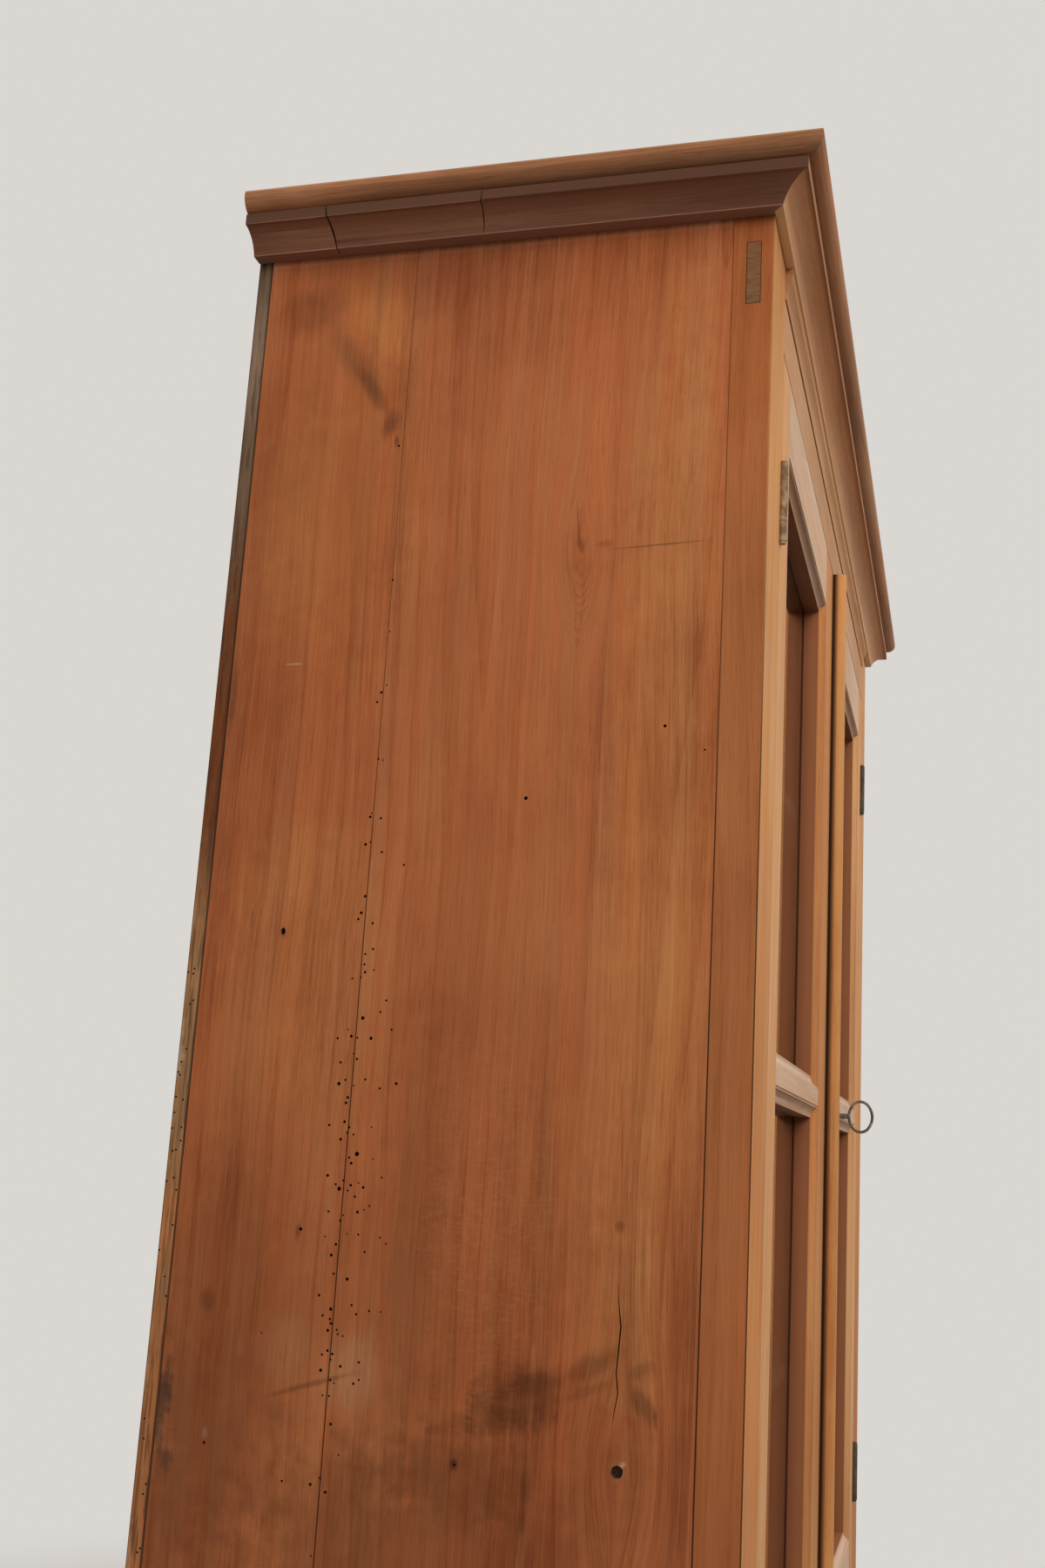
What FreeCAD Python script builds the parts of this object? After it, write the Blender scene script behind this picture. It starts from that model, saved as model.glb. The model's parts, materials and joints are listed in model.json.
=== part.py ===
import FreeCAD, Part
import math
import os

# A glazed two-door cupboard in fruitwood, in millimetres, with +Z up and the doors facing -Y.
# It is modelled with the posts' front faces at Y = 0, its middle at X = 0 and the floor at Z = 0.
# Each piece is moved as it is written, so that the origin is the middle of the overall box, on the floor.

Vector = FreeCAD.Vector

# Case: posts, rails, sides and back
CASE_WIDTH = 1206.0
CASE_DEPTH = 450.0
TOTAL_HEIGHT = 1530.0
POST_WIDTH = 82.0
POST_DEPTH = 33.0
RAIL_THICKNESS = 31.0
FRIEZE_DROP = 126.0
BOTTOM_RAIL_HEIGHT = 90.0
FOOT_HEIGHT = 119.0
CASE_TENON_THICKNESS = 12.0
CASE_TENON_SETBACK = 10.0
FRIEZE_TENON_HEIGHT = 55.0
FRIEZE_TENON_RISE = 2.0
BOTTOM_TENON_HEIGHT = 60.0
BOTTOM_TENON_RISE = 15.0
SIDE_THICKNESS = 22.0
FRONT_PLANK_WIDTH = 270.0
TONGUE_THICKNESS = 8.0
TONGUE_DEPTH = 6.0
BACK_THICKNESS = 13.0
BACK_PLANK_COUNT = 4
BACK_LAP = 12.0

# Boards inside the case, and what carries them
BOTTOM_BOARD_THICKNESS = 20.0
BOTTOM_BOARD_RISE = 9.0
SHELF_THICKNESS = 18.0
SHELF_CLEARANCE = 16.0
CLEAT_WIDTH = 20.0
CLEAT_HEIGHT = 25.0
CLEAT_INSET = 15.0
STOP_LENGTH = 90.0
STOP_THICKNESS = 12.0
STOP_HEIGHT = 45.0
STOP_DROP = 12.0
STOP_INSET = 60.0

# Cornice and the small moulding under it
CROWN_HEIGHT = 19.0
CROWN_PROJECTION = 41.5
CROWN_EDGE_HEIGHT = 7.0
CROWN_EDGE_RADIUS = 3.0
CROWN_FOOT_PROJECTION = 28.0
CROWN_BULGE = 2.95
COVE_HEIGHT = 28.0
COVE_PROJECTION = 29.5
COVE_FILLET_HEIGHT = 10.0
COVE_FOOT_PROJECTION = 8.0
COVE_FOOT_HEIGHT = 1.0
COVE_SAG = 4.5
SIDE_COVE_STEP = 5.0
BED_HEIGHT = 29.0
BED_PROJECTION = 6.0
BED_FILLET_HEIGHT = 11.0
BED_FOOT_PROJECTION = 1.5
BED_SAG = 2.0

# Doors
DOOR_THICKNESS = 30.0
DOOR_TOP_GAP = 2.0
DOOR_BOTTOM_GAP = 3.0
DOOR_SIDE_GAP = 2.0
MEETING_GAP = 2.5
HINGE_STILE_WIDTH = 68.0
LOCK_STILE_WIDTH = 92.0
TOP_RAIL_HEIGHT = 77.0
MID_RAIL_HEIGHT = 41.0
LOW_RAIL_HEIGHT = 88.0
UPPER_PANE_HEIGHT = 495.0
MOULD_WIDTH = 12.0
QUIRK_WIDTH = 2.0
QUIRK_DEPTH = 1.0
OVOLO_DEPTH = 5.3
OVOLO_BULGE = 2.0
GLASS_SETBACK = 23.0
GLASS_THICKNESS = 3.0
GLASS_CLEARANCE = 1.0
BEAD_WIDTH = 9.0
BEAD_LIP = 1.5
BEAD_CHAMFER = 5.0
DOOR_TENON_THICKNESS = 9.0
DOOR_TENON_SETBACK = 9.0
DOOR_TENON_LENGTH = 28.0
DOOR_TENON_SHOULDER = 3.0
ASTRAGAL_WIDTH = 15.0
ASTRAGAL_PROJECTION = 15.0

# Butt hinges, with three knuckles on a headed pin
LEAF_HEIGHT = 68.0
LEAF_THICKNESS = 2.0
LEAF_RECESS = 1.5
LEAF_DEPTH = 22.0
KNUCKLE_RADIUS = 4.0
KNUCKLE_SHARE = 0.5
HINGE_AXIS_PROUD = 1.8
PIN_RADIUS = 2.0
PIN_HEAD_RADIUS = 3.2
PIN_HEAD_HEIGHT = 2.0
UPPER_HINGE_DROP = 132.0
LOWER_HINGE_RISE = 149.0
PIN_CLEARANCE = 0.05
KNUCKLE_CLEARANCE = 0.4
BARREL_CLEARANCE = 0.5

# Screws and nails
SCREW_RADIUS = 1.7
SCREW_HEAD_RADIUS = 3.4
SCREW_HEAD_HEIGHT = 1.7
SCREW_SLOT_WIDTH = 0.8
SCREW_SLOT_DEPTH = 0.7
HINGE_SCREW_LENGTH = 22.0
HINGE_SCREW_SETBACK = 12.0
HINGE_SCREW_PITCH = 22.0
PLATE_SCREW_LENGTH = 14.0
NAIL_RADIUS = 1.5
NAIL_HEAD_RADIUS = 3.5
NAIL_HEAD_HEIGHT = 1.2
NAIL_LENGTH = 40.0
NAIL_EDGE = 60.0
FASTENER_CLEARANCE = 0.05

# Lock on the right door's back, its key and its keeper on the left door
LOCK_SETBACK = 4.0
LOCK_PLATE_WIDTH = 62.0
LOCK_PLATE_HEIGHT = 74.0
PLATE_THICKNESS = 2.0
LOCK_BOX_INSET = 4.0
LOCK_BOX_WIDTH = 48.0
LOCK_BOX_HEIGHT = 54.0
LOCK_BOX_DEPTH = 14.0
LOCK_WALL = 2.0
LOCK_SCREW_INSET = 5.0
LOCK_BOLT_RISE = 7.0
LOCK_BOLT_HEIGHT = 14.0
LOCK_BOLT_THICKNESS = 5.0
LOCK_BOLT_TRAVEL = 18.0
LOCK_BOLT_TAIL_GAP = 2.0
LOCK_BOLT_CLEARANCE = 0.3
KEY_FROM_EDGE = 36.0
KEY_BELOW_MID_RAIL = 13.0
KEY_REACH = 49.0
KEY_SHANK_RADIUS = 2.75
KEY_WIRE_RADIUS = 1.5
KEY_BOW_LENGTH = 27.6
KEY_BOW_WIDTH = 35.0
KEY_BOW_END_RADIUS = 10.0
KEY_BIT_REACH = 10.75
KEY_BIT_LENGTH = 6.0
KEY_BIT_THICKNESS = 2.4
KEY_BIT_CLEARANCE = 0.5
KEY_HOLE_CLEARANCE = 0.5
ESCUTCHEON_WIDTH = 20.0
ESCUTCHEON_HEIGHT = 38.0
ESCUTCHEON_THICKNESS = 1.2
ESCUTCHEON_DROP = 3.6
KEEPER_SETBACK = 3.0
KEEPER_WIDTH = 11.0
KEEPER_WALL = 3.0
KEEPER_CLEARANCE = 0.8
KEEPER_PLATE_WIDTH = 31.0
KEEPER_PLATE_HEIGHT = 40.0
KEEPER_SCREW_INSET = 6.0

# Slide bolts on the left door's back
SLIDE_BOLT_WIDTH = 10.0
SLIDE_BOLT_THICKNESS = 5.0
SLIDE_BOLT_LENGTH = 120.0
SLIDE_BOLT_TRAVEL = 24.0
SLIDE_BOLT_FROM_EDGE = 40.0
SLIDE_BOLT_TIP_GAP = 4.0
SLIDE_CLEARANCE = 0.3
NOTCH_CLEARANCE = 1.0
GUIDE_PLATE_WIDTH = 30.0
GUIDE_PLATE_LENGTH = 92.0
GUIDE_TIP_INSET = 8.0
STAPLE_HEIGHT = 9.0
STAPLE_WALL = 2.5
GUIDE_SCREW_INSET = 13.5
KNOB_RADIUS = 4.0
KNOB_LENGTH = 8.0

# Levels and faces that several pieces share
CASE_LEFT = -CASE_WIDTH / 2
CASE_TOP = TOTAL_HEIGHT - CROWN_HEIGHT
OPENING_LEFT = CASE_LEFT + POST_WIDTH
SIDE_INNER = CASE_LEFT + SIDE_THICKNESS
FRIEZE_BOTTOM = TOTAL_HEIGHT - FRIEZE_DROP
BOTTOM_RAIL_TOP = FOOT_HEIGHT + BOTTOM_RAIL_HEIGHT
CORNICE_BOTTOM = CASE_TOP - COVE_HEIGHT
PLANK_JOINT = POST_DEPTH + FRONT_PLANK_WIDTH
BACK_FRONT = CASE_DEPTH - BACK_THICKNESS
BOTTOM_BOARD_TOP = BOTTOM_RAIL_TOP + BOTTOM_BOARD_RISE
DOOR_LEFT = OPENING_LEFT + DOOR_SIDE_GAP
DOOR_RIGHT = -MEETING_GAP / 2
DOOR_TOP = FRIEZE_BOTTOM - DOOR_TOP_GAP
DOOR_BOTTOM = BOTTOM_RAIL_TOP + DOOR_BOTTOM_GAP
PANE_LEFT = DOOR_LEFT + HINGE_STILE_WIDTH
PANE_RIGHT = DOOR_RIGHT - LOCK_STILE_WIDTH
UPPER_PANE_TOP = DOOR_TOP - TOP_RAIL_HEIGHT
UPPER_PANE_BOTTOM = UPPER_PANE_TOP - UPPER_PANE_HEIGHT
LOWER_PANE_TOP = UPPER_PANE_BOTTOM - MID_RAIL_HEIGHT
LOWER_PANE_BOTTOM = DOOR_BOTTOM + LOW_RAIL_HEIGHT
MID_RAIL_CENTRE = (UPPER_PANE_BOTTOM + LOWER_PANE_TOP) / 2
UPPER_PANE = (PANE_LEFT, PANE_RIGHT, UPPER_PANE_BOTTOM, UPPER_PANE_TOP)
LOWER_PANE = (PANE_LEFT, PANE_RIGHT, LOWER_PANE_BOTTOM, LOWER_PANE_TOP)
HINGE_AXIS_X = OPENING_LEFT + DOOR_SIDE_GAP / 2
HINGE_HEIGHTS = (DOOR_TOP - UPPER_HINGE_DROP, DOOR_BOTTOM + LOWER_HINGE_RISE)
KEY_X = -DOOR_RIGHT + KEY_FROM_EDGE
KEY_Z = MID_RAIL_CENTRE - KEY_BELOW_MID_RAIL
LOCK_LEFT = -DOOR_RIGHT + LOCK_SETBACK
LOCK_BOX_LEFT = LOCK_LEFT + LOCK_BOX_INSET
PLATE_BACK = DOOR_THICKNESS + PLATE_THICKNESS
LOCK_BACK = PLATE_BACK + LOCK_BOX_DEPTH
LOCK_BOLT_FRONT = PLATE_BACK + (LOCK_BOX_DEPTH - LOCK_WALL - LOCK_BOLT_THICKNESS) / 2
LOCK_BOLT_BACK = LOCK_BOLT_FRONT + LOCK_BOLT_THICKNESS
SLIDE_BOLT_X = DOOR_RIGHT - SLIDE_BOLT_FROM_EDGE
SLIDE_BOLT_FRONT = PLATE_BACK + SLIDE_CLEARANCE
SLIDE_BOLT_BACK = SLIDE_BOLT_FRONT + SLIDE_BOLT_THICKNESS
SHELF_FRONT = max(LOCK_BACK, SLIDE_BOLT_BACK + KNOB_LENGTH) + SHELF_CLEARANCE

# The middle shelf hides behind the doors' middle rails, and the others halve the space below and above it.
MIDDLE_SHELF_TOP = MID_RAIL_CENTRE + SHELF_THICKNESS / 2
SHELF_TOPS = {
    "lower_shelf": (BOTTOM_BOARD_TOP + MIDDLE_SHELF_TOP) / 2,
    "middle_shelf": MIDDLE_SHELF_TOP,
    "upper_shelf": (MIDDLE_SHELF_TOP + CASE_TOP + SHELF_THICKNESS) / 2,
}

# The key's bow reaches furthest forward, so the overall box runs from there to the back planks.
CENTRE_SHIFT = Vector(0, -(CASE_DEPTH - max(KEY_REACH, CROWN_PROJECTION)) / 2, 0)


def box(x0, x1, y0, y1, z0, z1):
    return Part.makeBox(x1 - x0, y1 - y0, z1 - z0, Vector(x0, y0, z0))


def mirrored(shape):
    return shape.mirror(Vector(0, 0, 0), Vector(1, 0, 0))


def joined(first, *others):
    return first.fuse(list(others)).removeSplitter()


def face(start, *steps):
    # A step is a point at the end of a line, or a pair of points that an arc passes and ends at.
    edges = []
    here = start
    for step in steps + (start,):
        if isinstance(step, tuple):
            edges.append(Part.Arc(here, step[0], step[1]).toShape())
            here = step[1]
        else:
            edges.append(Part.makeLine(here, step))
            here = step
    return Part.Face(Part.Wire(edges))


def bowed(start, end, rise, normal):
    # The middle of an arc that rises from its chord, towards the chord's direction crossed with normal.
    sideways = (end - start).cross(normal)
    sideways.normalize()
    return (start + end) * 0.5 + sideways * rise


# Screws and nails, with the holes that they fill

def screw_body(point, direction, length, clearance):
    head = Part.makeCone(
        SCREW_HEAD_RADIUS + clearance, SCREW_RADIUS + clearance, SCREW_HEAD_HEIGHT, point, direction)
    shank = Part.makeCylinder(SCREW_RADIUS + clearance, length + clearance, point, direction)
    return joined(head, shank)


def screw(point, direction, length):
    along = Vector(0, 0, SCREW_HEAD_RADIUS)
    across = direction.cross(Vector(0, 0, 1)) * (SCREW_SLOT_WIDTH / 2)
    slot = face(
        point + along + across, point + along - across, point - along - across, point - along + across)
    return screw_body(point, direction, length, 0).cut(slot.extrude(direction * SCREW_SLOT_DEPTH))


def screw_hole(point, direction, length):
    return screw_body(point, direction, length, FASTENER_CLEARANCE)


def nail_body(x, z, clearance):
    inward = Vector(0, -1, 0)
    point = Vector(x, CASE_DEPTH, z)
    head = Part.makeCylinder(NAIL_HEAD_RADIUS + clearance, NAIL_HEAD_HEIGHT, point, inward)
    shank = Part.makeCylinder(NAIL_RADIUS + clearance, NAIL_LENGTH + clearance, point, inward)
    return joined(head, shank)


def plank_span(index):
    width = CASE_WIDTH / BACK_PLANK_COUNT
    return CASE_LEFT + index * width, CASE_LEFT + (index + 1) * width


def nail_columns(index):
    left, right = plank_span(index)
    return left + NAIL_EDGE, right - NAIL_EDGE


def nail_rows():
    rows = [top - SHELF_THICKNESS / 2 for top in SHELF_TOPS.values()]
    rows.append(BOTTOM_BOARD_TOP - BOTTOM_BOARD_THICKNESS / 2)
    rows.append(CASE_TOP + CROWN_HEIGHT / 2)
    return rows


def nails_in_plank(index, clearance):
    return [nail_body(x, z, clearance) for x in nail_columns(index) for z in nail_rows()]


def nails_in_board(row):
    columns = [x for index in range(BACK_PLANK_COUNT) for x in nail_columns(index)]
    return [nail_body(x, row, FASTENER_CLEARANCE) for x in columns]


# Butt hinge on the left post, at the height of its middle

def hinge_rod(radius, low, high):
    return Part.makeCylinder(radius, high - low, Vector(HINGE_AXIS_X, -HINGE_AXIS_PROUD, low))


def knuckle_spans(height):
    low = height - LEAF_HEIGHT / 2
    high = height + LEAF_HEIGHT / 2
    middle = LEAF_HEIGHT * KNUCKLE_SHARE / 2
    return (low, height - middle), (height - middle, height + middle), (height + middle, high)


def frame_leaf_face():
    return OPENING_LEFT - LEAF_RECESS + LEAF_THICKNESS


def door_leaf_face():
    return DOOR_LEFT + LEAF_RECESS - LEAF_THICKNESS


def hinge_screw_points(leaf_face, height):
    heights = (height - HINGE_SCREW_PITCH, height, height + HINGE_SCREW_PITCH)
    return [Vector(leaf_face, HINGE_SCREW_SETBACK, z) for z in heights]


def hinge_screws(leaf_face, direction, maker):
    points = [point for height in HINGE_HEIGHTS for point in hinge_screw_points(leaf_face, height)]
    return [maker(point, direction, HINGE_SCREW_LENGTH) for point in points]


def leaf(plate_left, own_spans, other_spans, height):
    # A plate with its knuckles, cut clear of the other leaf's knuckles and bored for the pin.
    plate = box(
        plate_left, plate_left + LEAF_THICKNESS, -HINGE_AXIS_PROUD, LEAF_DEPTH,
        height - LEAF_HEIGHT / 2, height + LEAF_HEIGHT / 2)
    for low, high in other_spans:
        plate = plate.cut(
            hinge_rod(KNUCKLE_RADIUS + KNUCKLE_CLEARANCE, low - KNUCKLE_CLEARANCE, high + KNUCKLE_CLEARANCE))
    knuckles = [hinge_rod(KNUCKLE_RADIUS, low, high) for low, high in own_spans]
    bore = hinge_rod(PIN_RADIUS + PIN_CLEARANCE, height - LEAF_HEIGHT, height + LEAF_HEIGHT)
    return joined(plate, *knuckles).cut(bore)


def frame_leaf(height):
    low, middle, high = knuckle_spans(height)
    plate = leaf(OPENING_LEFT - LEAF_RECESS, (low, high), (middle,), height)
    holes = [screw_hole(point, Vector(-1, 0, 0), HINGE_SCREW_LENGTH)
             for point in hinge_screw_points(frame_leaf_face(), height)]
    return plate.cut(holes)


def door_leaf(height):
    low, middle, high = knuckle_spans(height)
    clear_middle = (middle[0] + KNUCKLE_CLEARANCE, middle[1] - KNUCKLE_CLEARANCE)
    plate = leaf(door_leaf_face(), (clear_middle,), (low, high), height)
    holes = [screw_hole(point, Vector(1, 0, 0), HINGE_SCREW_LENGTH)
             for point in hinge_screw_points(door_leaf_face(), height)]
    return plate.cut(holes)


def hinge_pin(height):
    low = height - LEAF_HEIGHT / 2
    high = height + LEAF_HEIGHT / 2
    return joined(
        hinge_rod(PIN_RADIUS, low, high),
        hinge_rod(PIN_HEAD_RADIUS, low - PIN_HEAD_HEIGHT, low),
        hinge_rod(PIN_HEAD_RADIUS, high, high + PIN_HEAD_HEIGHT))


def hinge_gains(wood_face, inward):
    # The recesses that the leaves and barrels lie in, in the post or in the door's stile.
    gains = []
    for height in HINGE_HEIGHTS:
        low = height - LEAF_HEIGHT / 2
        high = height + LEAF_HEIGHT / 2
        edges = sorted((wood_face, wood_face + inward * LEAF_RECESS))
        gains.append(box(edges[0], edges[1], 0, LEAF_DEPTH, low, high))
        gains.append(hinge_rod(
            KNUCKLE_RADIUS + BARREL_CLEARANCE,
            low - PIN_HEAD_HEIGHT - BARREL_CLEARANCE, high + PIN_HEAD_HEIGHT + BARREL_CLEARANCE))
    return gains


# Case

def case_tenon(low, height):
    back = CASE_TENON_SETBACK + CASE_TENON_THICKNESS
    return box(CASE_LEFT, OPENING_LEFT, CASE_TENON_SETBACK, back, low, low + height)


def frieze_tenon():
    return case_tenon(FRIEZE_BOTTOM + FRIEZE_TENON_RISE, FRIEZE_TENON_HEIGHT)


def bottom_tenon():
    return case_tenon(FOOT_HEIGHT + BOTTOM_TENON_RISE, BOTTOM_TENON_HEIGHT)


def rail(low, high, tenon):
    bar = box(OPENING_LEFT, -OPENING_LEFT, 0, RAIL_THICKNESS, low, high)
    return joined(bar, tenon, mirrored(tenon))


def side_tongue(joint):
    # The tongue on a side plank's front edge, which fills a groove in the piece before it.
    left = CASE_LEFT + (SIDE_THICKNESS - TONGUE_THICKNESS) / 2
    return box(left, left + TONGUE_THICKNESS, joint - TONGUE_DEPTH, joint, FOOT_HEIGHT, CASE_TOP)


def left_front_post():
    post = box(CASE_LEFT, OPENING_LEFT, 0, POST_DEPTH, 0, CASE_TOP)
    holes = hinge_screws(frame_leaf_face(), Vector(-1, 0, 0), screw_hole)
    cuts = [frieze_tenon(), bottom_tenon(), side_tongue(POST_DEPTH)]
    return post.cut(cuts + hinge_gains(OPENING_LEFT, -1) + holes)


def left_side_plank_front():
    plank = box(CASE_LEFT, SIDE_INNER, POST_DEPTH, PLANK_JOINT, FOOT_HEIGHT, CASE_TOP)
    return joined(plank, side_tongue(POST_DEPTH)).cut(side_tongue(PLANK_JOINT))


def left_side_plank_rear():
    plank = box(CASE_LEFT, SIDE_INNER, PLANK_JOINT, BACK_FRONT, 0, CASE_TOP)
    return joined(plank, side_tongue(PLANK_JOINT))


def back_plank(index):
    # Each plank's front half runs on under the next plank's rear half.
    left, right = plank_span(index)
    front_left = left + BACK_LAP if index > 0 else left
    front_right = right + BACK_LAP if index < BACK_PLANK_COUNT - 1 else right
    middle = BACK_FRONT + BACK_THICKNESS / 2
    front_half = box(front_left, front_right, BACK_FRONT, middle, FOOT_HEIGHT, TOTAL_HEIGHT)
    rear_half = box(left, right, middle, CASE_DEPTH, FOOT_HEIGHT, TOTAL_HEIGHT)
    return joined(front_half, rear_half).cut(nails_in_plank(index, FASTENER_CLEARANCE))


def top_board():
    board = box(CASE_LEFT, -CASE_LEFT, 0, BACK_FRONT, CASE_TOP, TOTAL_HEIGHT)
    return board.cut(nails_in_board(CASE_TOP + CROWN_HEIGHT / 2))


def slide_bolt_notch():
    half = SLIDE_BOLT_WIDTH / 2 + NOTCH_CLEARANCE
    return box(
        SLIDE_BOLT_X - half, SLIDE_BOLT_X + half, RAIL_THICKNESS, SLIDE_BOLT_BACK + NOTCH_CLEARANCE,
        BOTTOM_BOARD_TOP - BOTTOM_BOARD_THICKNESS, BOTTOM_BOARD_TOP)


def bottom_board():
    # It stands above the bottom rail, so that its front edge stops the doors.
    low = BOTTOM_BOARD_TOP - BOTTOM_BOARD_THICKNESS
    between_posts = box(OPENING_LEFT, -OPENING_LEFT, RAIL_THICKNESS, POST_DEPTH, low, BOTTOM_BOARD_TOP)
    between_sides = box(SIDE_INNER, -SIDE_INNER, POST_DEPTH, BACK_FRONT, low, BOTTOM_BOARD_TOP)
    nails = nails_in_board(BOTTOM_BOARD_TOP - BOTTOM_BOARD_THICKNESS / 2)
    return joined(between_posts, between_sides).cut([slide_bolt_notch()] + nails)


def shelf(top):
    board = box(SIDE_INNER, -SIDE_INNER, SHELF_FRONT, BACK_FRONT, top - SHELF_THICKNESS, top)
    return board.cut(nails_in_board(top - SHELF_THICKNESS / 2))


def cleat(front, top):
    return box(SIDE_INNER, SIDE_INNER + CLEAT_WIDTH, front, BACK_FRONT, top - CLEAT_HEIGHT, top)


def left_cleats():
    cleats = [cleat(SHELF_FRONT + CLEAT_INSET, top - SHELF_THICKNESS) for top in SHELF_TOPS.values()]
    return cleats + [cleat(POST_DEPTH, BOTTOM_BOARD_TOP - BOTTOM_BOARD_THICKNESS)]


def left_door_stop():
    left = OPENING_LEFT + STOP_INSET
    low = FRIEZE_BOTTOM - STOP_DROP
    back = RAIL_THICKNESS + STOP_THICKNESS
    return box(left, left + STOP_LENGTH, RAIL_THICKNESS, back, low, low + STOP_HEIGHT)


# Cornice: a crown around the top board's edges over a cove on the case, mitred at the front corners

def crown_section(at, out):
    normal = out.cross(Vector(0, 0, 1))

    def point(projection, drop):
        return at + out * projection + Vector(0, 0, TOTAL_HEIGHT - drop)

    foot = point(CROWN_FOOT_PROJECTION, CROWN_HEIGHT)
    edge = point(CROWN_PROJECTION, CROWN_EDGE_HEIGHT)
    nose = point(CROWN_PROJECTION, CROWN_EDGE_RADIUS)
    top = point(CROWN_PROJECTION - CROWN_EDGE_RADIUS, 0)
    corner = CROWN_EDGE_RADIUS * (1 - 0.5 ** 0.5)
    return face(
        point(0, CROWN_HEIGHT), foot, (bowed(foot, edge, CROWN_BULGE, normal), edge), nose,
        (point(CROWN_PROJECTION - corner, corner), top), point(0, 0))


def cove_section(at, out, step=0):
    # The side coves stand out by a step more than the front one.
    normal = out.cross(Vector(0, 0, 1))

    def point(projection, drop):
        return at + out * projection + Vector(0, 0, CASE_TOP - drop)

    fillet = point(COVE_PROJECTION + step, COVE_FILLET_HEIGHT)
    foot = point(COVE_FOOT_PROJECTION + step, COVE_HEIGHT - COVE_FOOT_HEIGHT)
    return face(
        point(0, 0), point(COVE_PROJECTION + step, 0), fillet, (bowed(foot, fillet, -COVE_SAG, normal), foot),
        point(COVE_FOOT_PROJECTION + step, COVE_HEIGHT), point(0, COVE_HEIGHT))


def side_cove_section(at, out):
    return cove_section(at, out, SIDE_COVE_STEP)


def bed_section(at, out):
    normal = out.cross(Vector(0, 0, 1))

    def point(projection, drop):
        return at + out * projection + Vector(0, 0, CORNICE_BOTTOM - drop)

    fillet = point(BED_PROJECTION, BED_FILLET_HEIGHT)
    foot = point(BED_FOOT_PROJECTION, BED_HEIGHT)
    return face(
        point(0, 0), point(BED_PROJECTION, 0), fillet, (bowed(foot, fillet, -BED_SAG, normal), foot),
        point(0, BED_HEIGHT))


def plan_block(*corners):
    points = [Vector(x, y, CORNICE_BOTTOM) for x, y in corners]
    return face(*points).extrude(Vector(0, 0, TOTAL_HEIGHT - CORNICE_BOTTOM))


def cornice_front(section, step):
    reach = max(CROWN_PROJECTION, COVE_PROJECTION)
    start = CASE_LEFT - step
    end = start - reach
    bar = section(Vector(end, 0, 0), Vector(0, -1, 0)).extrude(Vector(-2 * end, 0, 0))
    mitres = plan_block((start, 0), (end, -reach), (-end, -reach), (-start, 0))
    return bar.common(mitres)


def cornice_left(section, step):
    reach = max(CROWN_PROJECTION, COVE_PROJECTION)
    start = CASE_LEFT - step
    end = start - reach
    bar = section(Vector(CASE_LEFT, -reach, 0), Vector(-1, 0, 0)).extrude(Vector(0, CASE_DEPTH + reach, 0))
    plan = [(CASE_LEFT, 0), (end, -reach), (end, CASE_DEPTH), (CASE_LEFT, CASE_DEPTH)]
    if step:
        plan.insert(1, (start, 0))
    return bar.common(plan_block(*plan))


def frieze_moulding():
    return bed_section(Vector(OPENING_LEFT, 0, 0), Vector(0, -1, 0)).extrude(Vector(-2 * OPENING_LEFT, 0, 0))


# Left door: stiles and rails with a moulded inner edge, the panes behind it and the beads that hold them

SIDES = ("bottom", "right", "top", "left")


def grown(pane, width):
    left, right, low, high = pane
    return left - width, right + width, low - width, high + width


def corners(pane):
    left, right, low, high = pane
    return [Vector(left, 0, low), Vector(right, 0, low), Vector(right, 0, high), Vector(left, 0, high)]


def mitred_bar(pane, width, side, section):
    # A bar along one side of a pane's edge, outside it, whose section is drawn across the bar.
    index = SIDES.index(side)
    after = (index + 1) % len(SIDES)
    outer = corners(grown(pane, width))
    inner = corners(pane)
    run = outer[after] - outer[index]
    inward = Vector(0, 1, 0).cross(run) * -1
    inward.normalize()
    bar = section(outer[index], inward).extrude(run)
    wedge = face(outer[index], outer[after], inner[after], inner[index])
    return bar.common(wedge.extrude(Vector(0, DOOR_THICKNESS, 0)))


def mould_section(at, inward):
    normal = inward.cross(Vector(0, 1, 0))

    def point(across, depth):
        return at + inward * across + Vector(0, depth, 0)

    quirk = point(QUIRK_WIDTH, QUIRK_DEPTH)
    edge = point(MOULD_WIDTH, QUIRK_DEPTH + OVOLO_DEPTH)
    return face(
        point(0, QUIRK_DEPTH), quirk, (bowed(edge, quirk, OVOLO_BULGE, normal), edge),
        point(MOULD_WIDTH, GLASS_SETBACK), point(0, GLASS_SETBACK))


def bead_section(at, inward):
    def point(across, depth):
        return at + inward * across + Vector(0, depth, 0)

    front = GLASS_SETBACK + GLASS_THICKNESS
    return face(
        point(0, front), point(BEAD_WIDTH, front), point(BEAD_WIDTH, front + BEAD_LIP),
        point(BEAD_WIDTH - BEAD_CHAMFER, DOOR_THICKNESS), point(0, DOOR_THICKNESS))


def mould(pane, side):
    return mitred_bar(pane, MOULD_WIDTH, side, mould_section)


def rail_levels():
    # The flat faces of the top, middle and bottom rails, between their mouldings.
    return {
        "top": (UPPER_PANE_TOP + MOULD_WIDTH, DOOR_TOP),
        "mid": (LOWER_PANE_TOP + MOULD_WIDTH, UPPER_PANE_BOTTOM - MOULD_WIDTH),
        "bottom": (DOOR_BOTTOM, LOWER_PANE_BOTTOM - MOULD_WIDTH),
    }


def rail_tenon(level, shoulder_x, inward):
    low, high = rail_levels()[level]
    ends = sorted((shoulder_x, shoulder_x + inward * DOOR_TENON_LENGTH))
    back = DOOR_TENON_SETBACK + DOOR_TENON_THICKNESS
    return box(
        ends[0], ends[1], DOOR_TENON_SETBACK, back, low + DOOR_TENON_SHOULDER, high - DOOR_TENON_SHOULDER)


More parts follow.
